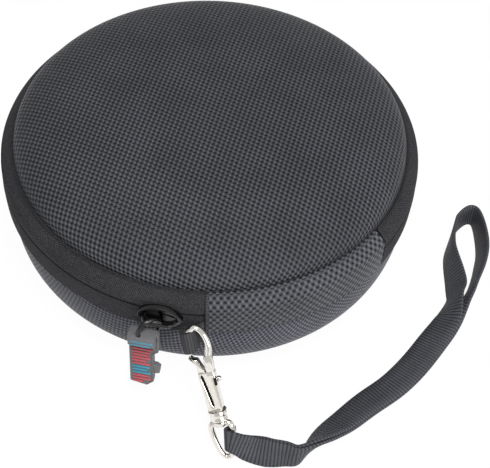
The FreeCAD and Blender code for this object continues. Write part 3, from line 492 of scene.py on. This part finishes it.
# ---------------------------------------------------------------- clasp frame
swivel, gate = JOINTS["eye_swivel"], JOINTS["gate_swing"]
CLASP_UP = Vector(swivel["axis"]).normalized()
CLASP_BACK = Vector(gate["axis"]).normalized()
CLASP_SIDE = CLASP_BACK.cross(CLASP_UP)
CLASP_LENGTH = 32.5      # from the bow's top to the swivel
CLASP_TOP = Vector(swivel["pos_m"]) + CLASP_UP * CLASP_LENGTH * MM
CLASP = Matrix.Translation(CLASP_TOP) @ Matrix((CLASP_SIDE, CLASP_BACK, CLASP_UP)).transposed().to_4x4()


def at_clasp(x, y, z):
    return CLASP @ Vector((x * MM, y * MM, z * MM))


def make_tab():
    """Ribbon folded round the clasp's leg, its two plies sewn into the seam beside the hinge panel."""
    leg, lean = at_clasp(-4.0, 0, -6.0), (at_clasp(-3.9, 0, -3.0) - at_clasp(-4.1, 0, -9.0)).normalized()
    bearing = math.radians(HINGE_START - 0.6)
    seam = Vector((75.3 * math.cos(bearing) * MM, 75.3 * math.sin(bearing) * MM, 36.8 * MM))
    toward = (seam - leg)
    toward = (toward - lean * toward.dot(lean)).normalized()
    side = lean.cross(toward).normalized()
    places, across = [], []
    for sign, order in ((1, False), (-1, True)):
        part = []
        flat = Vector((math.cos(bearing), math.sin(bearing), 0))
        for share in (0.0, 0.2, 0.45, 0.7, 0.9):
            place = seam.lerp(leg + toward * 1.2 * MM, share)
            spread = 0.42 + 0.9 * share ** 2
            width = Vector((0, 0, 1)).lerp(lean, share)
            part.append((place + (flat.lerp(side, share)).normalized() * sign * spread * MM, width))
        part = part[::-1] if order else part
        if order:
            for step in range(1, 12):
                angle = math.radians(50 + 260 * step / 12)
                places.append(leg + (toward * math.cos(angle) + side * math.sin(angle)) * 1.9 * MM)
                across.append(lean)
        for place, width in part:
            places.append(place)
            across.append(width)
    bm = sweep_along(ribbon_section(7.4, 0.75), run(places, across))
    piece("clasp_ribbon", bm, ribbon, "base", ["clasp_tab"])


# ---------------------------------------------------------------- clasp
def ring_plate(outer, inner, near, far, soft):
    """Plate in the clasp's own frame between two outlines of as many points, across x and z."""
    bm = bmesh.new()
    loops = []
    for outline in (outer, inner):
        verts = [bm.verts.new((x * MM, near * MM, z * MM)) for x, z in outline]
        loops += [bm.edges.new(pair) for pair in zip(verts, verts[1:] + verts[:1])]
    bmesh.ops.bridge_loops(bm, edges=loops)
    made = bmesh.ops.extrude_face_region(bm, geom=bm.faces[:])["geom"]
    verts = [part for part in made if isinstance(part, bmesh.types.BMVert)]
    bmesh.ops.translate(bm, verts=verts, vec=(0, (far - near) * MM, 0))
    bmesh.ops.recalc_face_normals(bm, faces=bm.faces)
    edges = [edge for edge in bm.edges if edge.calc_face_angle(0.0) > math.radians(50)]
    bmesh.ops.bevel(bm, geom=edges, offset=soft * MM, segments=3, profile=0.5, affect="EDGES", material=-1)
    return bm


def slab(outline, near, far, soft):
    """Solid plate in the clasp's own frame from one outline across x and z."""
    bm = bmesh.new()
    verts = [bm.verts.new((x * MM, near * MM, z * MM)) for x, z in outline]
    face = bmesh.ops.contextual_create(bm, geom=verts)["faces"][0]
    made = bmesh.ops.extrude_face_region(bm, geom=[face])["geom"]
    verts = [part for part in made if isinstance(part, bmesh.types.BMVert)]
    bmesh.ops.translate(bm, verts=verts, vec=(0, (far - near) * MM, 0))
    bmesh.ops.recalc_face_normals(bm, faces=bm.faces)
    edges = [edge for edge in bm.edges if edge.calc_face_angle(0.0) > math.radians(40)]
    bmesh.ops.bevel(bm, geom=edges, offset=soft * MM, segments=2, profile=0.5, affect="EDGES", material=-1)
    return bm


def oval(width, height, steps=20):
    """Points of an oval, in metres."""
    turns = [math.tau * step / steps for step in range(steps)]
    return [(width / 2 * math.cos(turn) * MM, height / 2 * math.sin(turn) * MM) for turn in turns]


def turned(rows, steps=28):
    """Body of revolution about the clasp's own length, from rows of radius and height."""
    bm = bmesh.new()
    verts = [bm.verts.new((r * MM, 0, z * MM)) for r, z in rows]
    edges = [bm.edges.new(pair) for pair in zip(verts, verts[1:])]
    bmesh.ops.spin(bm, geom=verts + edges, axis=(0, 0, 1), cent=(0, 0, 0), angle=math.tau, steps=steps,
                   use_merge=True)
    bmesh.ops.remove_doubles(bm, verts=bm.verts, dist=1e-6)
    bmesh.ops.recalc_face_normals(bm, faces=bm.faces)
    return bm


def wire_path(rows):
    """Sweep of ovals in the clasp's own frame: rows of x, y, z, width across the bend and depth."""
    rows = smooth(rows, 7)
    bm = bmesh.new()
    rings = []
    for index, (x, y, z, wide, deep) in enumerate(rows):
        before, after = rows[max(index - 1, 0)], rows[min(index + 1, len(rows) - 1)]
        heading = Vector(after[:3]) - Vector(before[:3])
        place = frame_at(Vector((x, y, z)) * MM, heading, (0, 1, 0))
        verts = [bm.verts.new(place @ Vector((a, b, 0))) for a, b in oval(deep, wide, 16)]
        rings.append([bm.edges.new(pair) for pair in zip(verts, verts[1:] + verts[:1])])
    for before, after in zip(rings, rings[1:]):
        bmesh.ops.bridge_loops(bm, edges=before + after)
    for ends in (rings[0], rings[-1]):
        bmesh.ops.contextual_create(bm, geom=ends)
    bmesh.ops.recalc_face_normals(bm, faces=bm.faces)
    return bm


def make_clasp():
    """Trigger snap: tapering bow, slotted body, lever with its thumb knob, collar and pointed eye."""
    bow = wire_path([(-4.3, 0, -10.6, 1.3, 1.5), (-4.1, 0, -8.0, 1.8, 2.0), (-3.9, 0, -5.2, 2.0, 2.1),
                     (-3.3, 0, -2.9, 2.1, 2.2), (-1.8, 0, -1.4, 2.1, 2.4), (-0.6, 0, -1.2, 2.1, 2.5),
                     (0.9, 0, -2.7, 2.2, 2.6), (1.9, 0, -5.2, 2.3, 2.7), (2.2, 0, -8.2, 2.4, 2.8),
                     (1.7, 0, -10.8, 2.5, 2.9), (1.0, 0, -12.8, 2.4, 3.0)])
    root = slab([(-0.3, -12.0), (0.4, -11.3), (2.4, -11.0), (2.55, -12.5), (2.35, -17.6), (-0.3, -17.6)],
                -1.5, 1.5, 0.45)
    top, bottom = -17.3, -32.5
    outer = [(-3.1, top), (-1.8, top + 0.1), (-0.4, top + 0.15), (1.0, top + 0.1), (2.3, top),
             (2.45, top - 2.2), (2.4, -24.0), (2.4, bottom + 1.5), (2.1, bottom), (0.6, bottom - 0.1),
             (-1.0, bottom - 0.1), (-2.3, bottom), (-2.7, bottom + 1.5), (-2.9, -24.0),
             (-3.2, top - 2.2), (-3.2, top - 0.8)]
    inner = [(-2.35, -18.3), (-2.2, -18.1), (-2.0, -18.1), (-1.8, -18.3), (-1.55, -19.0), (-1.2, -21.0),
             (-0.75, -24.0), (-0.2, -28.0), (-0.1, -29.6), (-0.25, -30.1), (-0.5, -30.2), (-0.75, -30.0),
             (-0.95, -29.0), (-1.55, -24.0), (-2.1, -21.0), (-2.35, -19.2)]
    body = ring_plate(outer, inner, -1.7, 1.7, 0.35)
    collar = turned([(0, -31.6), (2.7, -31.6), (3.2, -32.0), (3.3, -32.9), (2.9, -33.3), (2.75, -34.4),
                     (3.0, -34.9), (3.0, -35.5), (2.6, -35.9), (0, -35.9)])
    bm = joined(bow, root, body, collar)
    bmesh.ops.transform(bm, matrix=CLASP, verts=bm.verts)
    piece("clasp_casting", bm, nickel, "clasp", ["clasp_hook"], 42.0)
    # Dark slab in the slot and dark block beside the knob: painted shade.
    channel = slab([(-2.6, top - 0.4), (2.0, top - 0.4), (1.9, bottom + 1), (-2.2, bottom + 1)],
                   -0.5, 1.5, 0.2)
    shade_by_knob = slab([(1.6, -19.4), (2.6, -19.5), (2.6, -22.3), (1.6, -22.4)], -1.72, -0.9, 0.15)
    bm = joined(channel, shade_by_knob)
    bmesh.ops.transform(bm, matrix=CLASP, verts=bm.verts)
    piece("clasp_channel", bm, shade_dark_zinc, "clasp", ["gate_spring"], 42.0)
    arm = slab([(-5.3, -11.5), (-4.7, -11.15), (-3.4, -12.2), (-2.3, -12.4), (-1.5, -14.5), (-0.5, -17.2),
                (-3.1, -17.2), (-3.15, -14.5), (-3.7, -12.9)], -1.55, 1.2, 0.35)
    knob = slab([(2.5, -19.9), (3.3, -19.7), (4.0, -20.2), (4.0, -21.2), (3.3, -21.6), (2.5, -21.5)],
                -0.7, 0.7, 0.3)
    arm = joined(arm, knob)
    bmesh.ops.transform(arm, matrix=CLASP, verts=arm.verts)
    piece("clasp_lever", arm, nickel, "gate", ["gate_lever"], 42.0)
    head = turned([(0, -1.0), (0.85, -1.0), (0.95, -0.85), (0.95, 0.85), (0.85, 1.0), (0, 1.0)], 20)
    bmesh.ops.scale(head, vec=(0.8, 0.8, 1.85), verts=head.verts)
    bmesh.ops.rotate(head, verts=head.verts, cent=(0, 0, 0), matrix=Matrix.Rotation(math.pi / 2, 3, "X"))
    bmesh.ops.translate(head, verts=head.verts, vec=(0.9 * MM, 0, -19.0 * MM))
    bmesh.ops.transform(head, matrix=CLASP, verts=head.verts)
    piece("lever_rivet", head, nickel, "clasp", ["gate_rivet"], 42.0)
    eye = wire_path([(0.0, 0, -37.0, 2.0, 2.2), (-1.7, 0, -37.0, 2.0, 2.3), (-3.2, 0, -37.6, 2.1, 2.4),
                     (-3.6, 0, -39.4, 2.1, 2.4), (-3.2, 0, -43.4, 2.0, 2.2), (-2.4, 0, -47.2, 1.9, 2.0),
                     (-1.2, 0, -49.7, 1.9, 2.0), (0.0, 0, -50.2, 1.9, 2.0), (1.2, 0, -49.7, 1.9, 2.0),
                     (2.2, 0, -47.2, 1.9, 2.0), (3.0, 0, -43.4, 2.0, 2.2), (3.5, 0, -39.4, 2.1, 2.4),
                     (3.1, 0, -37.6, 2.1, 2.4), (1.7, 0, -37.0, 2.0, 2.3), (0.0, 0, -37.0, 2.0, 2.2)])
    cap = turned([(0, -33.4), (1.1, -33.4), (1.1, -36.1), (2.3, -36.35), (2.4, -36.9), (1.8, -38.0),
                  (0, -38.3)])
    bm = joined(eye, cap)
    bmesh.ops.transform(bm, matrix=CLASP, verts=bm.verts)
    piece("swivel_loop", bm, nickel, "swivel", ["swivel_eye"], 42.0)


# ---------------------------------------------------------------- wrist strap
# Outermost line of the two layers on the table, and the lean of the webbing from upright, degrees.
STRAP_RUN = [(15.8, -104.6, -44), (22.9, -104.9, -25), (28.1, -104.0, -12), (32.5, -103.6, 4),
             (36.8, -102.3, 22), (41.5, -99.7, 42), (46.5, -95.9, 58), (52.3, -91.3, 70), (60.0, -84.0, 78),
             (68.8, -76.9, 80), (75.7, -69.6, 82), (81.2, -62.6, 82), (86.0, -55.7, 80),
             (90.4, -49.4, 72), (93.5, -43.7, 58)]
STRAP_LOOP = [(95.8, -38.8, 42), (97.9, -34.2, 26), (99.3, -29.8, 15), (102.2, -23.1, 17),
              (104.1, -17.2, 19), (105.1, -11.4, 17), (105.0, -4.5, 14), (103.7, 3.4, 8), (101.7, 6.6, 3),
              (98.6, 6.1, 1), (95.1, 2.2, 0),
              (93.7, -0.5, -2), (91.7, -5.7, -6), (89.7, -11.8, -15), (89.1, -17.9, -25), (89.0, -23.8, -34),
              (88.9, -29.6, -39), (89.1, -34.5, -22)]
WEB_WIDTH, WEB_THICK, PLY_SHIFT = 10.5, 1.2, 0.72
STRAP_STEPS = 5


def leaning(row, spacing, shift):
    """Places and width directions of webbing from rows of x, y and lean."""
    rows = smooth(row, spacing)
    places, across = [], []
    for index, (x, y, lean) in enumerate(rows):
        before, after = rows[max(index - 1, 0)], rows[min(index + 1, len(rows) - 1)]
        heading = Vector((after[0] - before[0], after[1] - before[1], 0)).normalized()
        out = Vector((heading.y, -heading.x, 0))
        tilt = math.radians(lean)
        width = Vector((0, 0, math.cos(tilt))) + out * math.sin(tilt)
        normal = out * math.cos(tilt) - Vector((0, 0, math.sin(tilt)))
        inward = WEB_WIDTH / 2 * abs(math.sin(tilt))
        rise = WEB_WIDTH / 2 * math.cos(tilt) + 1.35 * abs(math.sin(tilt)) + 0.15
        centre = Vector((x, y, rise)) - out * inward
        places.append((centre + normal * shift) * MM)
        across.append(width)
    return places, across


def make_strap():
    """Path of the webbing: round the eye, out as two layers, and round the end loop."""
    shoulder, foot = at_clasp(3.7, 0, -37.0), at_clasp(1.5, 0, -49.3)
    limb, rise = shoulder.lerp(foot, 0.55), (shoulder - foot).normalized()
    outer, outer_across = leaning(STRAP_RUN, STRAP_STEPS, PLY_SHIFT)
    inner, inner_across = leaning(STRAP_RUN, STRAP_STEPS, -PLY_SHIFT)
    loop, loop_across = leaning(STRAP_LOOP, STRAP_STEPS, 0.0)
    toward = Vector((outer[0] + inner[0]) / 2 - limb)
    toward = (toward - rise * toward.dot(rise)).normalized()
    side = rise.cross(toward)
    if side.dot(outer[0] - inner[0]) < 0:
        side = -side
    cuff, cuff_across = [], []
    for step in range(15):
        angle = math.radians(-62 - (360 - 124) * step / 14)
        cuff.append(limb + (toward * math.cos(angle) + side * math.sin(angle)) * 2.15 * MM)
        cuff_across.append(rise)
    places = cuff + outer + loop + inner[::-1]
    across = cuff_across + outer_across + loop_across + inner_across[::-1]
    wide = [0.76] * len(cuff) + [min(1.0, 0.86 + 0.035 * i) for i in range(len(outer))] + [1.0] * len(loop)
    wide += [min(1.0, 0.86 + 0.035 * i) for i in range(len(inner))][::-1]
    return places, across, wide, limb


def settle(places, across, wide):
    """Even out small kinks where the parts of the path join, keeping its ends."""
    for _ in range(3):
        moved = [places[0]]
        leant = [across[0]]
        for index in range(1, len(places) - 1):
            moved.append((places[index - 1] + places[index] * 2 + places[index + 1]) / 4)
            leant.append((across[index - 1] + across[index] * 2 + across[index + 1]).normalized())
        places, across = moved + [places[-1]], leant + [across[-1]]
    return places, across, wide


def strap_piece():
    """Wrist strap: one webbing whose ends lie one on the other beside the eye, sewn down."""
    places, across, wide, limb = make_strap()
    places, across, wide = settle(places, across, wide)
    bm = sweep_along(ribbon_section(WEB_WIDTH, WEB_THICK), run(places, across, wide))
    strap = piece("wrist_webbing", bm, webbing, None, ["wrist_strap"])
    near = Vector((15.5, -101.5, 6.5)) * MM
    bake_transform(strap, "clasp", "swivel", start=tuple(near), end=tuple(limb.lerp(near, 0.45)))


# ---------------------------------------------------------------- slider and tag
SLIDER_BEARING = -101.3
SLIDER = Matrix.Rotation(math.radians(SLIDER_BEARING), 4, "Z")


def plate(outline, near, far, rim, sink):
    """Plate from a flat outline across y and z, facing +x: rounded rim and a sunk middle."""
    bm = bmesh.new()
    verts = [bm.verts.new((near * MM, y * MM, z * MM)) for y, z in outline]
    face = bmesh.ops.contextual_create(bm, geom=verts)["faces"][0]
    made = bmesh.ops.extrude_face_region(bm, geom=[face])["geom"]
    top = [part for part in made if isinstance(part, bmesh.types.BMFace)][0]
    bmesh.ops.translate(bm, verts=top.verts, vec=((far - near) * MM, 0, 0))
    if rim:
        bmesh.ops.inset_region(bm, faces=[top], thickness=rim * MM)
        made = bmesh.ops.extrude_face_region(bm, geom=[top])["geom"]
        floor = [part for part in made if isinstance(part, bmesh.types.BMFace)][0]
        bmesh.ops.delete(bm, geom=[top], context="FACES_ONLY")
        bmesh.ops.translate(bm, verts=floor.verts, vec=(-sink * MM, 0, 0))
        bmesh.ops.inset_region(bm, faces=[floor], thickness=0.3 * MM)
    bmesh.ops.recalc_face_normals(bm, faces=bm.faces)
    edges = [edge for edge in bm.edges if edge.calc_face_angle(0.0) > math.radians(50)]
    bmesh.ops.bevel(bm, geom=edges, offset=0.18 * MM, segments=2, profile=0.5, affect="EDGES", material=-1)
    return bm


def leaf(length, width, sharp, steps=48):
    """Leaf outline, pointed towards +y."""
    row = []
    for step in range(steps):
        angle = math.tau * step / steps
        across = math.cos(angle)
        swell = abs(math.sin(angle)) ** (1.0 + (sharp if across > 0 else 0.0) * abs(across) ** 2)
        row.append((length / 2 * across, ZIP_HEIGHT + math.copysign(width / 2 * swell, math.sin(angle))))
    return row


def joined(*parts):
    """One bmesh from several."""
    whole = bmesh.new()
    for part in parts:
        mesh = bpy.data.meshes.new("part")
        part.to_mesh(mesh)
        part.free()
        whole.from_mesh(mesh)
        bpy.data.meshes.remove(mesh)
    return whole


def make_slider():
    """Slider: leaf-shaped face with a sunk middle, inner plate and the wedge between them."""
    face, back = ZIP_RADIUS + 0.9, ZIP_RADIUS - TAPE - 1.5 - 0.6
    outer = plate(leaf(15.4, 9.6, 0.9), face, face + 1.9, 1.1, 1.0)
    inner = plate(leaf(12.6, 8.6, 0.3), back - 1.3, back, 0, 0)
    wedge = plate([(1.7, ZIP_HEIGHT), (3.4, ZIP_HEIGHT - 0.25), (6.3, ZIP_HEIGHT - 0.25),
                   (6.3, ZIP_HEIGHT + 0.25), (3.4, ZIP_HEIGHT + 0.25)], back - 0.4, face + 0.4, 0, 0)
    bm = joined(outer, inner, wedge)
    bmesh.ops.transform(bm, matrix=SLIDER, verts=bm.verts)
    piece("slider_casting", bm, enamel, "slider", ["slider_body"], 35.0)


def make_tag():
    """Grey rubber tag moulded on the ring: raised edge, a lug at one side and plain raised bars."""
    ring_low, ring_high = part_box("pull_ring")
    centre = SLIDER.inverted() @ ((ring_low + ring_high) / 2) / MM
    depth, middle, hole = centre.x, centre.y, ring_low.z / MM + 0.7
    top, thick = hole + 2.2, 2.6
    edge = [(-6.6, 0.1), (-6.2, 0.5), (2.4, 0.2), (3.4, -0.9), (3.4, -9.0), (1.6, -10.6), (1.6, -26.2),
            (-0.8, -28.9), (-6.3, -27.7), (-6.6, -27.2)]
    lug = [(1.0, -17.2), (2.7, -17.2), (3.9, -18.3), (3.6, -21.3), (1.0, -22.2)]
    eye = [(-6.3, -3.6), (-6.5, 0.6), (2.6, 0.3), (2.9, -3.6)]
    near, far = depth - thick / 2, depth + thick / 2
    body = joined(plate([(y + middle, z + top) for y, z in edge], near, far, 0.5, 0.3),
                  plate([(y + middle, z + top) for y, z in lug], near + 0.2, far - 0.5, 0, 0),
                  plate([(y + middle, z + top) for y, z in eye], near, far + 2.6, 0, 0))
    bmesh.ops.transform(body, matrix=SLIDER, verts=body.verts)
    piece("tag_slab", body, tag_grey, "pull", ["pull_tag"], 35.0)
    bars = {"teal": [], "red": []}
    level = -1.2
    for colour, height, short in (("teal", 0.8, 0), ("teal", 0.8, 1.4), ("teal", 0.8, 0.4), ("red", 0.8, 0),
                                  ("red", 0.8, 1.0), ("red", 0.8, 0), ("red", 0.8, 0.6), ("red", 0.8, 0),
                                  ("red", 0.8, 1.4), ("red", 0.8, 0), ("teal", 0.8, 0.3), ("teal", 0.8, 1.2),
                                  ("teal", 0.8, 0), ("red", 0.8, 0.6), ("red", 0.8, 0), ("red", 0.8, 1.2)):
        right = 2.4 if level > -8.5 else (0.6 if level > -25.5 else -0.9)
        shape = [(-5.7, 0), (right - short, 0), (right - short, -height), (-5.7, -height)]
        shape = [(y + middle, z + level + top) for y, z in shape]
        stand = 2.6 if level > -3.6 else 0.0
        bars[colour].append(plate(shape, depth + 0.4 + stand, far + 0.1 + stand, 0, 0))
        level -= height + 0.92
    for colour, material in (("teal", tag_teal), ("red", tag_red)):
        bm = joined(*bars[colour])
        bmesh.ops.transform(bm, matrix=SLIDER, verts=bm.verts)
        piece(f"tag_bars_{colour}", bm, material, "pull", (), 35.0)


# ---------------------------------------------------------------- mesh pocket
def make_pocket():
    """Net pocket stretched over the lid's hollow, with elastic along its mouth."""
    hinge = Matrix.Rotation(math.radians(HINGE_START + HINGE_SWEEP / 2), 4, "Z")
    low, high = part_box("lid_mesh_pocket")
    level, radius, mouth = (low.z + high.z) / 2 / MM, 65.6, -12.0
    bm = bmesh.new()
    bmesh.ops.create_circle(bm, cap_ends=True, radius=radius * MM, segments=96)
    bmesh.ops.bisect_plane(bm, geom=bm.verts[:] + bm.edges[:] + bm.faces[:], plane_co=(mouth * MM, 0, 0),
                           plane_no=(-1, 0, 0), clear_outer=True)
    bmesh.ops.translate(bm, verts=bm.verts, vec=(0, 0, (level - 0.2) * MM))
    made = bmesh.ops.extrude_face_region(bm, geom=bm.faces[:])["geom"]
    verts = [part for part in made if isinstance(part, bmesh.types.BMVert)]
    bmesh.ops.translate(bm, verts=verts, vec=(0, 0, 0.4 * MM))
    bmesh.ops.recalc_face_normals(bm, faces=bm.faces)
    cloth = bm.loops.layers.uv.new("cloth")
    for face in bm.faces:
        for loop in face.loops:
            loop[cloth].uv = (loop.vert.co.x / MM, loop.vert.co.y / MM)
    bmesh.ops.transform(bm, matrix=hinge, verts=bm.verts)
    item = piece("pocket_mesh", bm, netting, "lid", ["lid_mesh_pocket"])
    half = math.sqrt(radius ** 2 - (mouth - 2) ** 2) - 0.6
    places = [hinge @ (Vector((mouth - 1.2, -half + half * 2 * i / 24, level)) * MM) for i in range(25)]
    bm = sweep_along(oval(2.4, 2.4, 12), run(places, [(0, 0, 1)] * 25))
    piece("pocket_cord", bm, elastic, "lid", ["pocket_elastic"])


def knitted_netting():
    """Knitted polyester net: holes 1.6 mm apart between dark yarns."""
    material, tree, surface = blank("knitted polyester net", {"Roughness": 0.8})
    along, across = cloth_map(tree)[:2]
    rows = [crest(tree, way, NET_HOLE) for way in (along, across)]
    hole = add(tree, "ShaderNodeMath", {0: rows[0], 1: rows[1]}, operation="MULTIPLY").outputs[0]
    yarn = add(tree, "ShaderNodeMapRange", {0: hole, 1: 0.45, 2: 0.6, 3: 1.0, 4: 0.0}).outputs[0]
    coloured(tree, surface, "#0d0d0e", "#2c2c2f", yarn, yarn, 0.2)
    tree.links.new(yarn, surface.inputs["Alpha"])
    return material


netting = knitted_netting()
for shell in ("base", "lid"):
    make_shell(shell)
make_tapes()
make_hinge()
make_tab()
make_clasp()
strap_piece()
make_slider()
make_tag()
make_pocket()

for node, material in (("slider_bridge", enamel), ("pull_ring", enamel)):
    item = frame["nodes"][node]
    if not item.material_slots:
        item.data.materials.append(material)
    for slot in item.material_slots:
        slot.material = material


# ---------------------------------------------------------------- floor, light and camera
GLOSSY_WHITE = 0.6
LAMPS = (("key", (0.05, -0.45, 0.95), 0.3, 11.0), ("front", (0.7, -0.8, 0.4), 0.5, 7.0))
LAMP_AIM = Vector((0, 0, 0.04))
LENS, SENSOR = 110.2, 36.0
CAMERA_PLACE, CAMERA_ANGLES = (0, -0.37403, 0.43696), (2.165, 49.536, 3.160)  # yaw, pitch and roll


def white_for_rays(tree):
    """How white a ray sees the surroundings: fully from the camera or through glass, partly in a shine."""
    path = add(tree, "ShaderNodeLightPath")
    shine = add(tree, "ShaderNodeMath", {0: path.outputs["Is Glossy Ray"], 1: GLOSSY_WHITE},
                operation="MULTIPLY").outputs[0]
    seen = add(tree, "ShaderNodeMath", {0: path.outputs["Is Camera Ray"], 1: shine},
               operation="MAXIMUM").outputs[0]
    return add(tree, "ShaderNodeMath", {0: seen, 1: path.outputs["Is Transmission Ray"]},
               operation="MAXIMUM").outputs[0]


def make_stage():
    """Pale floor that reads as plain white."""
    bm = bmesh.new()
    bmesh.ops.create_grid(bm, x_segments=1, y_segments=1, size=4.0)
    mesh = bpy.data.meshes.new("floor")
    bm.to_mesh(mesh)
    bm.free()
    floor = bpy.data.objects.new("floor", mesh)
    bpy.context.scene.collection.objects.link(floor)
    paper = bpy.data.materials.new("white backdrop paper")
    paper.use_nodes = True
    tree = paper.node_tree
    tree.nodes.clear()
    lit = add(tree, "ShaderNodeBsdfDiffuse", {"Color": linear("#f2f2f2")}).outputs[0]
    plain = add(tree, "ShaderNodeEmission", {"Color": (1, 1, 1, 1), "Strength": 1.0}).outputs[0]
    share = add(tree, "ShaderNodeMath", {0: white_for_rays(tree), 1: 0.97}, operation="MULTIPLY").outputs[0]
    mixed = add(tree, "ShaderNodeMixShader", {0: share, 1: lit, 2: plain}).outputs[0]
    add(tree, "ShaderNodeOutputMaterial", {0: mixed})
    mesh.materials.append(paper)


def make_light():
    """Even grey surroundings and two soft lamps."""
    world = bpy.data.worlds.new("studio")
    bpy.context.scene.world = world
    world.use_nodes = True
    tree = world.node_tree
    tree.nodes.clear()
    level = add(tree, "ShaderNodeMix", {0: white_for_rays(tree), 6: (0.19, 0.195, 0.21, 1), 7: (1, 1, 1, 1)},
                data_type="RGBA").outputs[2]
    add(tree, "ShaderNodeOutputWorld", {0: add(tree, "ShaderNodeBackground", {0: level, 1: 1.0}).outputs[0]})
    for name, place, size, power in LAMPS:
        lamp = bpy.data.lights.new(name, "AREA")
        lamp.shape, lamp.size, lamp.energy = "DISK", size, power
        item = bpy.data.objects.new(name, lamp)
        bpy.context.scene.collection.objects.link(item)
        aim = LAMP_AIM - Vector(place)
        item.matrix_world = Matrix.Translation(place) @ aim.to_track_quat("-Z", "Y").to_matrix().to_4x4()


def make_camera():
    """Long lens, looking down on the case from the front."""
    lens = bpy.data.cameras.new("view")
    lens.lens, lens.sensor_width, lens.clip_start = LENS, SENSOR, 0.01
    item = bpy.data.objects.new("view", lens)
    bpy.context.scene.collection.objects.link(item)
    yaw, pitch, roll = (math.radians(angle) for angle in CAMERA_ANGLES)
    ahead = Vector((math.sin(yaw) * math.cos(pitch), math.cos(yaw) * math.cos(pitch), -math.sin(pitch)))
    right = Vector((math.cos(yaw), -math.sin(yaw), 0))
    up = right.cross(ahead)
    across = right * math.cos(roll) + up * math.sin(roll)
    above = up * math.cos(roll) - right * math.sin(roll)
    turned = Matrix((across, above, -ahead)).transposed().to_4x4()
    item.matrix_world = Matrix.Translation(CAMERA_PLACE) @ turned
    bpy.context.scene.camera = item


make_stage()
make_light()
make_camera()
bpy.context.scene.view_settings.view_transform = "Standard"
